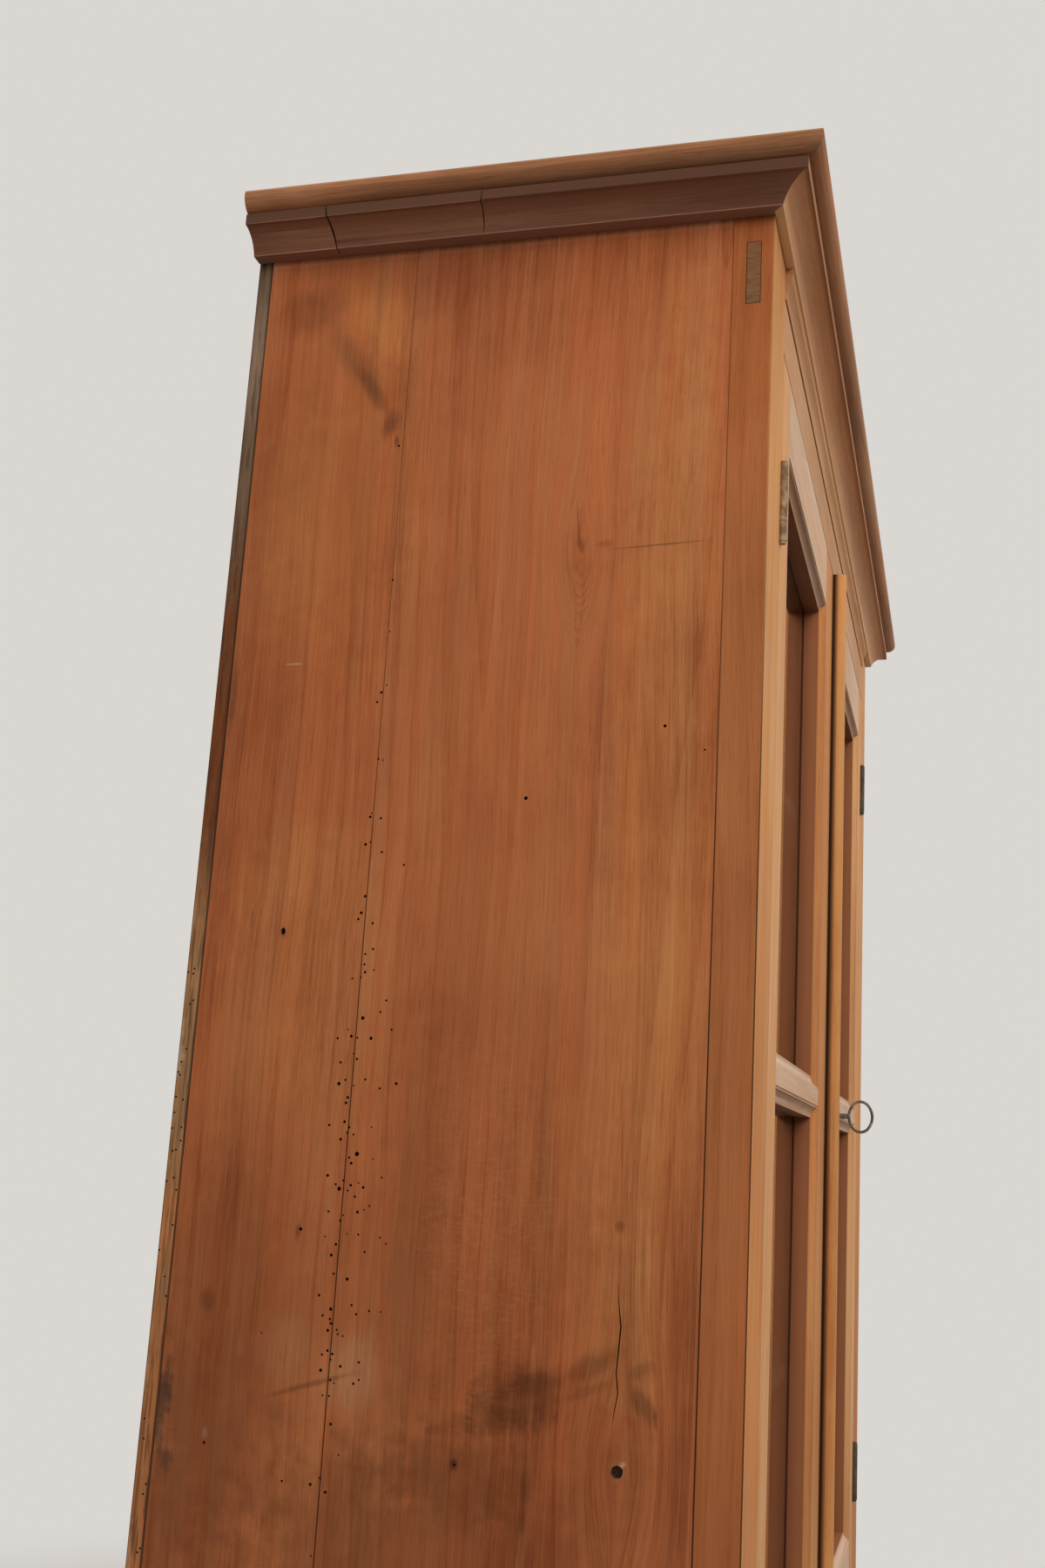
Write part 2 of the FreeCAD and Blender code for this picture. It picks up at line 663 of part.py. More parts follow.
def rail_tenons(level):
    left = rail_tenon(level, PANE_LEFT - MOULD_WIDTH, -1)
    right = rail_tenon(level, PANE_RIGHT + MOULD_WIDTH, 1)
    return left, right


def door_rail(level, moulds):
    low, high = rail_levels()[level]
    bar = box(PANE_LEFT - MOULD_WIDTH, PANE_RIGHT + MOULD_WIDTH, 0, DOOR_THICKNESS, low, high)
    return joined(bar, *moulds, *rail_tenons(level))


def hinge_stile():
    bar = box(DOOR_LEFT, PANE_LEFT - MOULD_WIDTH, 0, DOOR_THICKNESS, DOOR_BOTTOM, DOOR_TOP)
    stile = joined(bar, mould(UPPER_PANE, "left"), mould(LOWER_PANE, "left"))
    mortises = [rail_tenons(level)[0] for level in rail_levels()]
    holes = hinge_screws(door_leaf_face(), Vector(1, 0, 0), screw_hole)
    return stile.cut(mortises + hinge_gains(DOOR_LEFT, 1) + holes)


def lock_stile():
    bar = box(PANE_RIGHT + MOULD_WIDTH, DOOR_RIGHT, 0, DOOR_THICKNESS, DOOR_BOTTOM, DOOR_TOP)
    stile = joined(bar, mould(UPPER_PANE, "right"), mould(LOWER_PANE, "right"))
    return stile.cut([rail_tenons(level)[1] for level in rail_levels()])


def door_rails():
    return {
        "top_rail": door_rail("top", [mould(UPPER_PANE, "top")]),
        "mid_rail": door_rail("mid", [mould(UPPER_PANE, "bottom"), mould(LOWER_PANE, "top")]),
        "bottom_rail": door_rail("bottom", [mould(LOWER_PANE, "bottom")]),
    }


def glass(pane):
    left, right, low, high = grown(pane, MOULD_WIDTH - GLASS_CLEARANCE)
    return box(left, right, GLASS_SETBACK, GLASS_SETBACK + GLASS_THICKNESS, low, high)


def glazing_beads(pane):
    edge = grown(pane, MOULD_WIDTH - BEAD_WIDTH)
    return [mitred_bar(edge, BEAD_WIDTH, side, bead_section) for side in SIDES]


# Lock, key and keeper

def plate_screws(points, maker):
    return [maker(Vector(x, PLATE_BACK, z), Vector(0, -1, 0), PLATE_SCREW_LENGTH) for x, z in points]


def lock_screw_points():
    right = LOCK_LEFT + LOCK_PLATE_WIDTH
    reach = LOCK_PLATE_HEIGHT / 2 - LOCK_SCREW_INSET
    return [(x, KEY_Z + side * reach)
            for x in (LOCK_LEFT + LOCK_SCREW_INSET, right - LOCK_SCREW_INSET) for side in (-1, 1)]


def keyhole(front, back):
    radius = KEY_SHANK_RADIUS + KEY_HOLE_CLEARANCE
    half = KEY_BIT_THICKNESS / 2 + KEY_HOLE_CLEARANCE
    barrel = Part.makeCylinder(radius, back - front, Vector(KEY_X, front, KEY_Z), Vector(0, 1, 0))
    slot = box(KEY_X - half, KEY_X + half, front, back, KEY_Z - KEY_BIT_REACH - KEY_HOLE_CLEARANCE, KEY_Z)
    return joined(barrel, slot)


def lock_bolt_bar(clearance, left, right):
    return box(
        left, right, LOCK_BOLT_FRONT - clearance, LOCK_BOLT_BACK + clearance,
        KEY_Z + LOCK_BOLT_RISE - clearance, KEY_Z + LOCK_BOLT_RISE + LOCK_BOLT_HEIGHT + clearance)


def lock_case():
    half_plate = LOCK_PLATE_HEIGHT / 2
    half_box = LOCK_BOX_HEIGHT / 2
    right = LOCK_BOX_LEFT + LOCK_BOX_WIDTH
    plate = box(
        LOCK_LEFT, LOCK_LEFT + LOCK_PLATE_WIDTH, DOOR_THICKNESS, PLATE_BACK,
        KEY_Z - half_plate, KEY_Z + half_plate)
    shell = box(LOCK_BOX_LEFT, right, PLATE_BACK, LOCK_BACK, KEY_Z - half_box, KEY_Z + half_box)
    room = box(
        LOCK_BOX_LEFT + LOCK_WALL, right - LOCK_WALL, PLATE_BACK, LOCK_BACK - LOCK_WALL,
        KEY_Z - half_box + LOCK_WALL, KEY_Z + half_box - LOCK_WALL)
    pivot_front = Vector(KEY_X, LOCK_BACK - LOCK_WALL, KEY_Z)
    pivot = Part.makeCylinder(KEY_SHANK_RADIUS + PIN_CLEARANCE, LOCK_WALL, pivot_front, Vector(0, 1, 0))
    slot = lock_bolt_bar(LOCK_BOLT_CLEARANCE, LOCK_BOX_LEFT, LOCK_BOX_LEFT + LOCK_WALL)
    holes = plate_screws(lock_screw_points(), screw_hole)
    return joined(plate, shell).cut([room, pivot, slot, keyhole(DOOR_THICKNESS, PLATE_BACK)] + holes)


def lock_bolt():
    # The tail is cut away below, clear of the key's bit over the whole travel.
    tail_end = LOCK_BOX_LEFT + LOCK_BOX_WIDTH - LOCK_WALL - LOCK_BOLT_TAIL_GAP
    circle = KEY_BIT_REACH + KEY_BIT_CLEARANCE
    half_chord = (circle ** 2 - LOCK_BOLT_RISE ** 2) ** 0.5
    notch = box(
        KEY_X - half_chord, tail_end, LOCK_BOLT_FRONT, LOCK_BOLT_BACK, KEY_Z + LOCK_BOLT_RISE, KEY_Z + circle)
    return lock_bolt_bar(0, LOCK_BOX_LEFT, tail_end).cut(notch)


def key_bow():
    # An oval ring in the plane of the shank, of four arcs that run into each other.
    half_length = KEY_BOW_LENGTH / 2 - KEY_WIRE_RADIUS
    half_width = KEY_BOW_WIDTH / 2 - KEY_WIRE_RADIUS
    end_offset = half_width - KEY_BOW_END_RADIUS
    side_radius = ((end_offset ** 2 + half_length ** 2 - KEY_BOW_END_RADIUS ** 2)
                   / (2 * (half_length - KEY_BOW_END_RADIUS)))
    side_offset = side_radius - half_length
    side_turn = math.degrees(math.atan2(end_offset, side_offset))
    middle = Vector(KEY_X, KEY_BOW_LENGTH / 2 - KEY_REACH, KEY_Z)
    tubes = []
    for way in (-1, 1):
        across = Vector(0, way, 0)
        along = Vector(0, 0, way)
        tubes += wire_arc(middle + across * half_length, along, middle - across * side_offset, side_turn)
        tubes += wire_arc(middle + along * half_width, across, middle + along * end_offset, 90 - side_turn)
    return joined(*tubes)


def wire_arc(point, direction, centre, turn):
    # A round wire through the point, bent both ways about the centre.
    disc = Part.Face(Part.Wire(Part.makeCircle(KEY_WIRE_RADIUS, point, direction)))
    return [disc.revolve(centre, Vector(1, 0, 0), angle) for angle in (-turn, turn)]


def key():
    bow_rear = KEY_BOW_LENGTH - KEY_WIRE_RADIUS - KEY_REACH
    shank = Part.makeCylinder(
        KEY_SHANK_RADIUS, LOCK_BACK - bow_rear, Vector(KEY_X, bow_rear, KEY_Z), Vector(0, 1, 0))
    half = KEY_BIT_THICKNESS / 2
    bit_middle = (LOCK_BOLT_FRONT + LOCK_BOLT_BACK) / 2
    bit = box(
        KEY_X - half, KEY_X + half, bit_middle - KEY_BIT_LENGTH / 2, bit_middle + KEY_BIT_LENGTH / 2,
        KEY_Z - KEY_BIT_REACH, KEY_Z)
    return joined(shank, key_bow(), bit)


def escutcheon():
    # A plate with round ends, whose keyhole lies within it.
    radius = ESCUTCHEON_WIDTH / 2
    straight = ESCUTCHEON_HEIGHT / 2 - radius
    middle = Vector(KEY_X, -ESCUTCHEON_THICKNESS, KEY_Z - ESCUTCHEON_DROP)

    def point(x, z):
        return middle + Vector(x, 0, z)

    outline = face(
        point(-radius, -straight), (point(0, -straight - radius), point(radius, -straight)),
        point(radius, straight), (point(0, straight + radius), point(-radius, straight)))
    return outline.extrude(Vector(0, ESCUTCHEON_THICKNESS, 0)).cut(keyhole(-ESCUTCHEON_THICKNESS, 0))


def keeper_levels():
    middle = KEY_Z + LOCK_BOLT_RISE + LOCK_BOLT_HEIGHT / 2
    return middle, LOCK_BOLT_HEIGHT / 2 + KEEPER_CLEARANCE


def keeper_screw_points():
    middle = keeper_levels()[0]
    x = DOOR_RIGHT - KEEPER_SETBACK - KEEPER_PLATE_WIDTH + KEEPER_SCREW_INSET
    reach = KEEPER_PLATE_HEIGHT / 2 - KEEPER_SCREW_INSET
    return [(x, middle - reach), (x, middle + reach)]


def strike_keeper():
    # A loop on a plate, which the lock's bolt enters from the side.
    middle, half_hole = keeper_levels()
    right = DOOR_RIGHT - KEEPER_SETBACK
    half_loop = half_hole + KEEPER_WALL
    half_plate = KEEPER_PLATE_HEIGHT / 2
    hole_back = LOCK_BOLT_BACK + KEEPER_CLEARANCE
    plate = box(
        right - KEEPER_PLATE_WIDTH, right, DOOR_THICKNESS, PLATE_BACK,
        middle - half_plate, middle + half_plate)
    loop = box(
        right - KEEPER_WIDTH, right, PLATE_BACK, hole_back + KEEPER_WALL,
        middle - half_loop, middle + half_loop)
    hole = box(right - KEEPER_WIDTH, right, PLATE_BACK, hole_back, middle - half_hole, middle + half_hole)
    return joined(plate, loop).cut([hole] + plate_screws(keeper_screw_points(), screw_hole))


# Slide bolts: up is 1 for the top bolt and -1 for the bottom bolt

def slide_bolt_tip(up):
    if up > 0:
        return DOOR_TOP - SLIDE_BOLT_TIP_GAP
    return BOTTOM_BOARD_TOP + SLIDE_BOLT_TIP_GAP


def upright(x0, x1, y0, y1, start, end):
    return box(x0, x1, y0, y1, min(start, end), max(start, end))


def slide_bolt(up):
    tip = slide_bolt_tip(up)
    half = SLIDE_BOLT_WIDTH / 2
    bar = upright(
        SLIDE_BOLT_X - half, SLIDE_BOLT_X + half, SLIDE_BOLT_FRONT, SLIDE_BOLT_BACK, tip,
        tip - up * SLIDE_BOLT_LENGTH)
    knob_z = tip - up * (GUIDE_TIP_INSET + GUIDE_PLATE_LENGTH / 2 + SLIDE_BOLT_TRAVEL / 2)
    knob = Part.makeCylinder(
        KNOB_RADIUS, KNOB_LENGTH, Vector(SLIDE_BOLT_X, SLIDE_BOLT_BACK, knob_z), Vector(0, 1, 0))
    return joined(bar, knob)


def guide_spans(up):
    # The plate's ends, and the two staples' spans along it.
    near = slide_bolt_tip(up) - up * GUIDE_TIP_INSET
    far = near - up * GUIDE_PLATE_LENGTH
    return (near, far), ((near, near - up * STAPLE_HEIGHT), (far + up * STAPLE_HEIGHT, far))


def guide_screw_points(up):
    staples = guide_spans(up)[1]
    reach = GUIDE_PLATE_WIDTH / 2 - SCREW_HEAD_RADIUS - FASTENER_CLEARANCE
    near = staples[0][0] - up * GUIDE_SCREW_INSET
    far = staples[1][1] + up * GUIDE_SCREW_INSET
    return [(SLIDE_BOLT_X + side * reach, z) for side in (-1, 1) for z in (near, far)]


def bolt_guide(up):
    plate_span_z, staples = guide_spans(up)
    half = GUIDE_PLATE_WIDTH / 2
    half_hole = SLIDE_BOLT_WIDTH / 2 + SLIDE_CLEARANCE
    hole_back = SLIDE_BOLT_BACK + SLIDE_CLEARANCE
    half_staple = half_hole + STAPLE_WALL
    staple_back = hole_back + STAPLE_WALL
    plate = upright(SLIDE_BOLT_X - half, SLIDE_BOLT_X + half, DOOR_THICKNESS, PLATE_BACK, *plate_span_z)
    loops = [
        upright(SLIDE_BOLT_X - half_staple, SLIDE_BOLT_X + half_staple, PLATE_BACK, staple_back, *span)
        for span in staples]
    way = upright(SLIDE_BOLT_X - half_hole, SLIDE_BOLT_X + half_hole, PLATE_BACK, hole_back, *plate_span_z)
    return joined(plate, *loops).cut([way] + plate_screws(guide_screw_points(up), screw_hole))


def left_plate_screw_points():
    return keeper_screw_points() + guide_screw_points(1) + guide_screw_points(-1)


def astragal():
    # A half-round strip on the right door's meeting edge.
    left = -DOOR_RIGHT
    radius = ASTRAGAL_WIDTH / 2

    def point(x, projection):
        return Vector(left + x, -projection, DOOR_BOTTOM)

    shoulder = ASTRAGAL_PROJECTION - radius
    nose = point(radius, ASTRAGAL_PROJECTION)
    section = face(
        point(0, 0), point(0, shoulder), (nose, point(ASTRAGAL_WIDTH, shoulder)), point(ASTRAGAL_WIDTH, 0))
    return section.extrude(Vector(0, 0, DOOR_TOP - DOOR_BOTTOM))


# All the pieces, by name: one solid, or a list of like solids

def case_pieces():
    crown_left = cornice_left(crown_section, 0)
    cove_left = cornice_left(side_cove_section, SIDE_COVE_STEP)
    leaves = [frame_leaf(height) for height in HINGE_HEIGHTS]
    pins = [hinge_pin(height) for height in HINGE_HEIGHTS]
    screws = hinge_screws(frame_leaf_face(), Vector(-1, 0, 0), screw)
    pieces = {
        "left_front_post": left_front_post(),
        "frieze_rail": rail(FRIEZE_BOTTOM, CASE_TOP, frieze_tenon()),
        "bottom_rail": rail(FOOT_HEIGHT, BOTTOM_RAIL_TOP, bottom_tenon()),
        "left_side_plank_front": left_side_plank_front(),
        "left_side_plank_rear": left_side_plank_rear(),
        "top_board": top_board(),
        "bottom_board": bottom_board(),
        "left_cleats": left_cleats(),
        "right_cleats": [mirrored(piece) for piece in left_cleats()],
        "door_stops": [left_door_stop(), mirrored(left_door_stop())],
        "crown_front": cornice_front(crown_section, 0),
        "crown_left": crown_left,
        "crown_right": mirrored(crown_left),
        "cove_front": cornice_front(cove_section, SIDE_COVE_STEP),
        "cove_left": cove_left,
        "cove_right": mirrored(cove_left),
        "frieze_moulding": frieze_moulding(),
        "hinge_frame_leaves": leaves + [mirrored(piece) for piece in leaves],
        "hinge_pins": pins + [mirrored(piece) for piece in pins],
        "case_hinge_screws": screws + [mirrored(piece) for piece in screws],
    }
    for name in ("front_post", "side_plank_front", "side_plank_rear"):
        pieces["right_" + name] = mirrored(pieces["left_" + name])
    for name, top in SHELF_TOPS.items():
        pieces[name] = shelf(top)
    pieces["back_nails"] = []
    for index in range(BACK_PLANK_COUNT):
        pieces[f"back_plank_{index + 1}"] = back_plank(index)
        pieces["back_nails"] += nails_in_plank(index, 0)
    return pieces


def door_pieces():
    # What both doors share, as the left door has it.
    pieces = {f"left_{name}": piece for name, piece in door_rails().items()}
    pieces["left_hinge_stile"] = hinge_stile()
    pieces["left_lock_stile"] = lock_stile()
    pieces["left_upper_glass"] = glass(UPPER_PANE)
    pieces["left_lower_glass"] = glass(LOWER_PANE)
    pieces["left_glazing_beads"] = glazing_beads(UPPER_PANE) + glazing_beads(LOWER_PANE)
    pieces["left_hinge_door_leaves"] = [door_leaf(height) for height in HINGE_HEIGHTS]
    pieces["left_door_screws"] = hinge_screws(door_leaf_face(), Vector(1, 0, 0), screw)
    return pieces


def right_door_pieces(left_pieces):
    pieces = {}
    for name, piece in left_pieces.items():
        right_name = name.replace("left_", "right_", 1)
        if isinstance(piece, list):
            pieces[right_name] = [mirrored(solid) for solid in piece]
        else:
            pieces[right_name] = mirrored(piece)
    holes = plate_screws(lock_screw_points(), screw_hole)
    for name in ("lock_stile", "top_rail", "mid_rail", "bottom_rail"):
        pieces["right_" + name] = pieces["right_" + name].cut([keyhole(0, DOOR_THICKNESS)] + holes)
    pieces["right_door_screws"] += plate_screws(lock_screw_points(), screw)
    pieces["astragal"] = astragal()
    pieces["lock_case"] = lock_case()
    pieces["lock_bolt"] = lock_bolt()
    pieces["key"] = key()
    pieces["escutcheon"] = escutcheon()
    return pieces


def left_door_pieces(shared_pieces):
    pieces = dict(shared_pieces)
    holes = plate_screws(left_plate_screw_points(), screw_hole)
    for name in ("lock_stile", "top_rail", "mid_rail", "bottom_rail"):
        pieces["left_" + name] = pieces["left_" + name].cut(holes)
    pieces["left_door_screws"] = pieces["left_door_screws"] + plate_screws(left_plate_screw_points(), screw)
    pieces["strike_keeper"] = strike_keeper()
    pieces["bolt_guides"] = [bolt_guide(1), bolt_guide(-1)]
    pieces["top_bolt"] = slide_bolt(1)
    pieces["bottom_bolt"] = slide_bolt(-1)
    return pieces


def write(name, piece):
    shape = Part.makeCompound(piece) if isinstance(piece, list) else piece
    shape.translated(CENTRE_SHIFT).exportStep(f"parts/{name}.step")


os.makedirs("parts", exist_ok=True)
shared = door_pieces()
for pieces in (case_pieces(), left_door_pieces(shared), right_door_pieces(shared)):
    for name, piece in pieces.items():
        write(name, piece)
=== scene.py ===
import json
import math

import bmesh
import bpy
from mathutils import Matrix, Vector
from mathutils.noise import fractal

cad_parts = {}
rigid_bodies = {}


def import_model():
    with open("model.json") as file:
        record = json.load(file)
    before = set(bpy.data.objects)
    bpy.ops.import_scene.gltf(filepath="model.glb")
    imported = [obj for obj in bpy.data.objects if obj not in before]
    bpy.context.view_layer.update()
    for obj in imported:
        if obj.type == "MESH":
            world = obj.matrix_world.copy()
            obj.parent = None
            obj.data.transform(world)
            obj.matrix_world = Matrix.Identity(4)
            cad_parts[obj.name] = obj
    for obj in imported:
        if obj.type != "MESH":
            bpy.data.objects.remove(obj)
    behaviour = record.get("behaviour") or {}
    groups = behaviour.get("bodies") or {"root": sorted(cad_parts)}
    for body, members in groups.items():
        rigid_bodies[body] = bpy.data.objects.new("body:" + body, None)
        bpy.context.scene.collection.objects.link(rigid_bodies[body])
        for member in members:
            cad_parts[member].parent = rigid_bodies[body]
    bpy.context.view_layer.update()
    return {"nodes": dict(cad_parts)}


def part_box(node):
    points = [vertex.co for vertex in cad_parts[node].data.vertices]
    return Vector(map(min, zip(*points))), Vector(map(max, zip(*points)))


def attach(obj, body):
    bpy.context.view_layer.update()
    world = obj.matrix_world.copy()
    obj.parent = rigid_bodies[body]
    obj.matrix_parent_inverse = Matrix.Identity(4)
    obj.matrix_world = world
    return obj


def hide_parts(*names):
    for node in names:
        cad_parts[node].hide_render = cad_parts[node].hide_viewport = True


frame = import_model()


# Viewpoint: a low stand off the cupboard's left side, a little ahead of its front, looking up along the side.
# The doors are seen at a grazing angle.
STAND = (-1.77232, -0.34798, 0.73413)
TURN_DEGREES = (102.9544, -3.2958, -74.9826)
viewpoint = bpy.data.cameras.new("viewpoint")
viewpoint.sensor_width = 36.0
viewpoint.lens = 37.194
viewpoint.clip_start = 0.05
camera = bpy.data.objects.new("viewpoint", viewpoint)
camera.location = STAND
camera.rotation_euler = [math.radians(angle) for angle in TURN_DEGREES]
bpy.context.scene.collection.objects.link(camera)
bpy.context.scene.camera = camera


# Studio: a pale floor under the cupboard, a pale even room around it, and two broad soft lamps.
# The lens, the gloss and the panes see the room's own colour. The light that falls on the wood is dimmer,
# and little of it comes up from the floor.
bpy.context.scene.view_settings.view_transform = "Standard"
ROOM_COLOUR = (0.70, 0.675, 0.64, 1.0)
ROOM_LIGHT = 0.52
FLOOR_COLOUR = (0.73, 0.705, 0.67, 1.0)
FLOOR_PALE = (0.76, 0.735, 0.70, 1.0)
FLOOR_BOUNCE = (0.20, 0.17, 0.14, 1.0)
FLOOR_MOTTLE = 1.5
FLOOR_ROUGHNESS = 0.85
FLOOR_RADIUS = 9.0
FLOOR_NEAR = 0.8
FLOOR_FAR = 1.8
LAMP_TARGET = (0.0, 0.0, 0.9)


def link(tree, value, socket):
    if isinstance(value, bpy.types.NodeSocket):
        tree.links.new(value, socket)
    else:
        socket.default_value = value


def calc(tree, operation, *values):
    node = tree.nodes.new("ShaderNodeMath")
    node.operation = operation
    for value, socket in zip(values, node.inputs):
        link(tree, value, socket)
    return node.outputs[0]


def along(tree, operation, *values):
    # The same for places and directions.
    node = tree.nodes.new("ShaderNodeVectorMath")
    node.operation = operation
    for value, socket in zip(values, node.inputs):
        link(tree, value, socket)
    return node.outputs["Value" if operation == "LENGTH" else "Vector"]


def cloud(tree, place, scale, detail=2.0, roughness=0.5, output="Fac"):
    node = tree.nodes.new("ShaderNodeTexNoise")
    link(tree, place, node.inputs["Vector"])
    node.inputs["Scale"].default_value = scale
    node.inputs["Detail"].default_value = detail
    node.inputs["Roughness"].default_value = roughness
    return node.outputs[output]


def span(tree, value, low, high, to_low=0.0, to_high=1.0):
    # An even passage from one level to another, as the value goes from low to high.
    node = tree.nodes.new("ShaderNodeMapRange")
    node.interpolation_type = "SMOOTHSTEP"
    for part, socket in zip((value, low, high, to_low, to_high), node.inputs):
        link(tree, part, socket)
    return node.outputs[0]


def mixed(tree, share, one, other, mode="MIX"):
    node = tree.nodes.new("ShaderNodeMix")
    node.data_type = "RGBA"
    node.blend_type = mode
    link(tree, share, node.inputs[0])
    link(tree, one, node.inputs[6])
    link(tree, other, node.inputs[7])
    return node.outputs[2]


def place_on(tree):
    return tree.nodes.new("ShaderNodeTexCoord").outputs["Object"]


def seen_share(tree):
    # 1 for the rays that show the background: straight to the lens, mirrored, or through glass.
    rays = tree.nodes.new("ShaderNodeLightPath")
    share = rays.outputs["Is Camera Ray"]
    for kind in ("Is Glossy Ray", "Is Transmission Ray"):
        share = calc(tree, "MAXIMUM", share, rays.outputs[kind])
    return share


def lamp(name, place, width, power, colour):
    data = bpy.data.lights.new(name, "AREA")
    data.size = width
    data.energy = power
    data.color = colour
    light = bpy.data.objects.new(name, data)
    light.location = place
    light.rotation_euler = (Vector(LAMP_TARGET) - Vector(place)).to_track_quat("-Z", "Y").to_euler()
    light.visible_glossy = False
    bpy.context.scene.collection.objects.link(light)


room = bpy.data.worlds.new("room")
room.use_nodes = True
room_tree = room.node_tree
room_shade = room_tree.nodes["Background"]
room_shade.inputs["Color"].default_value = ROOM_COLOUR
room_level = span(room_tree, seen_share(room_tree), 0.0, 1.0, ROOM_LIGHT, 1.0)
room_tree.links.new(room_level, room_shade.inputs["Strength"])
bpy.context.scene.world = room
lamp("window", (-3.0, -2.2, 3.0), 2.6, 125.0, (1.0, 0.97, 0.93))
lamp("fill", (2.9, -2.4, 2.4), 2.4, 60.0, (1.0, 0.98, 0.96))

bpy.ops.object.select_all(action="DESELECT")
bpy.ops.mesh.primitive_circle_add(vertices=96, radius=FLOOR_RADIUS, fill_type="NGON")
floor = bpy.context.object
floor.name = "floor"
floor_paint = bpy.data.materials.new("floor_paint")
floor_paint.use_nodes = True
floor_tree = floor_paint.node_tree
floor_shade = floor_tree.nodes["Principled BSDF"]
floor_shade.inputs["Roughness"].default_value = FLOOR_ROUGHNESS
floor_place = place_on(floor_tree)
floor_seen = seen_share(floor_tree)
floor_tint = mixed(floor_tree, cloud(floor_tree, floor_place, FLOOR_MOTTLE), FLOOR_COLOUR, FLOOR_PALE)
floor_colour = mixed(floor_tree, floor_seen, FLOOR_BOUNCE, floor_tint)
floor_tree.links.new(floor_colour, floor_shade.inputs["Base Color"])
far_floor = floor_tree.nodes.new("ShaderNodeEmission")
far_floor.inputs["Color"].default_value = ROOM_COLOUR
fade = span(floor_tree, along(floor_tree, "LENGTH", floor_place), FLOOR_NEAR, FLOOR_FAR)
fade = calc(floor_tree, "MULTIPLY", fade, floor_seen)
floor_mix = floor_tree.nodes.new("ShaderNodeMixShader")
for source, socket in zip((fade, floor_shade.outputs[0], far_floor.outputs[0]), floor_mix.inputs):
    floor_tree.links.new(source, socket)
floor_tree.links.new(floor_mix.outputs[0], floor_tree.nodes["Material Output"].inputs["Surface"])
floor.data.materials.append(floor_paint)


# Front posts: two upright planks of waxed fruitwood that frame the doors and run down as front feet.
# Sawn and planed by hand, mortised for the rails, with their front edges rounded by a long life of use.
POST_EASE = 0.0009
POST_JOINT_DARK = (0.030, 0.014, 0.008)
# Edges are eased where two faces turn by more than so many degrees, and where they are long.
# Flat faces are joined first. Narrow faces on the eased edges take wear, some also a painted highlight.
MERGE_WITHIN = 0.00001
FLAT_TO_DEGREES = 0.6
SHARP_FROM_DEGREES = 25
SMOOTH_TO_DEGREES = 32
LONG_EDGE = 0.03
NARROW_FACE = 1.2


def tint(colour):
    return (*colour, 1.0)


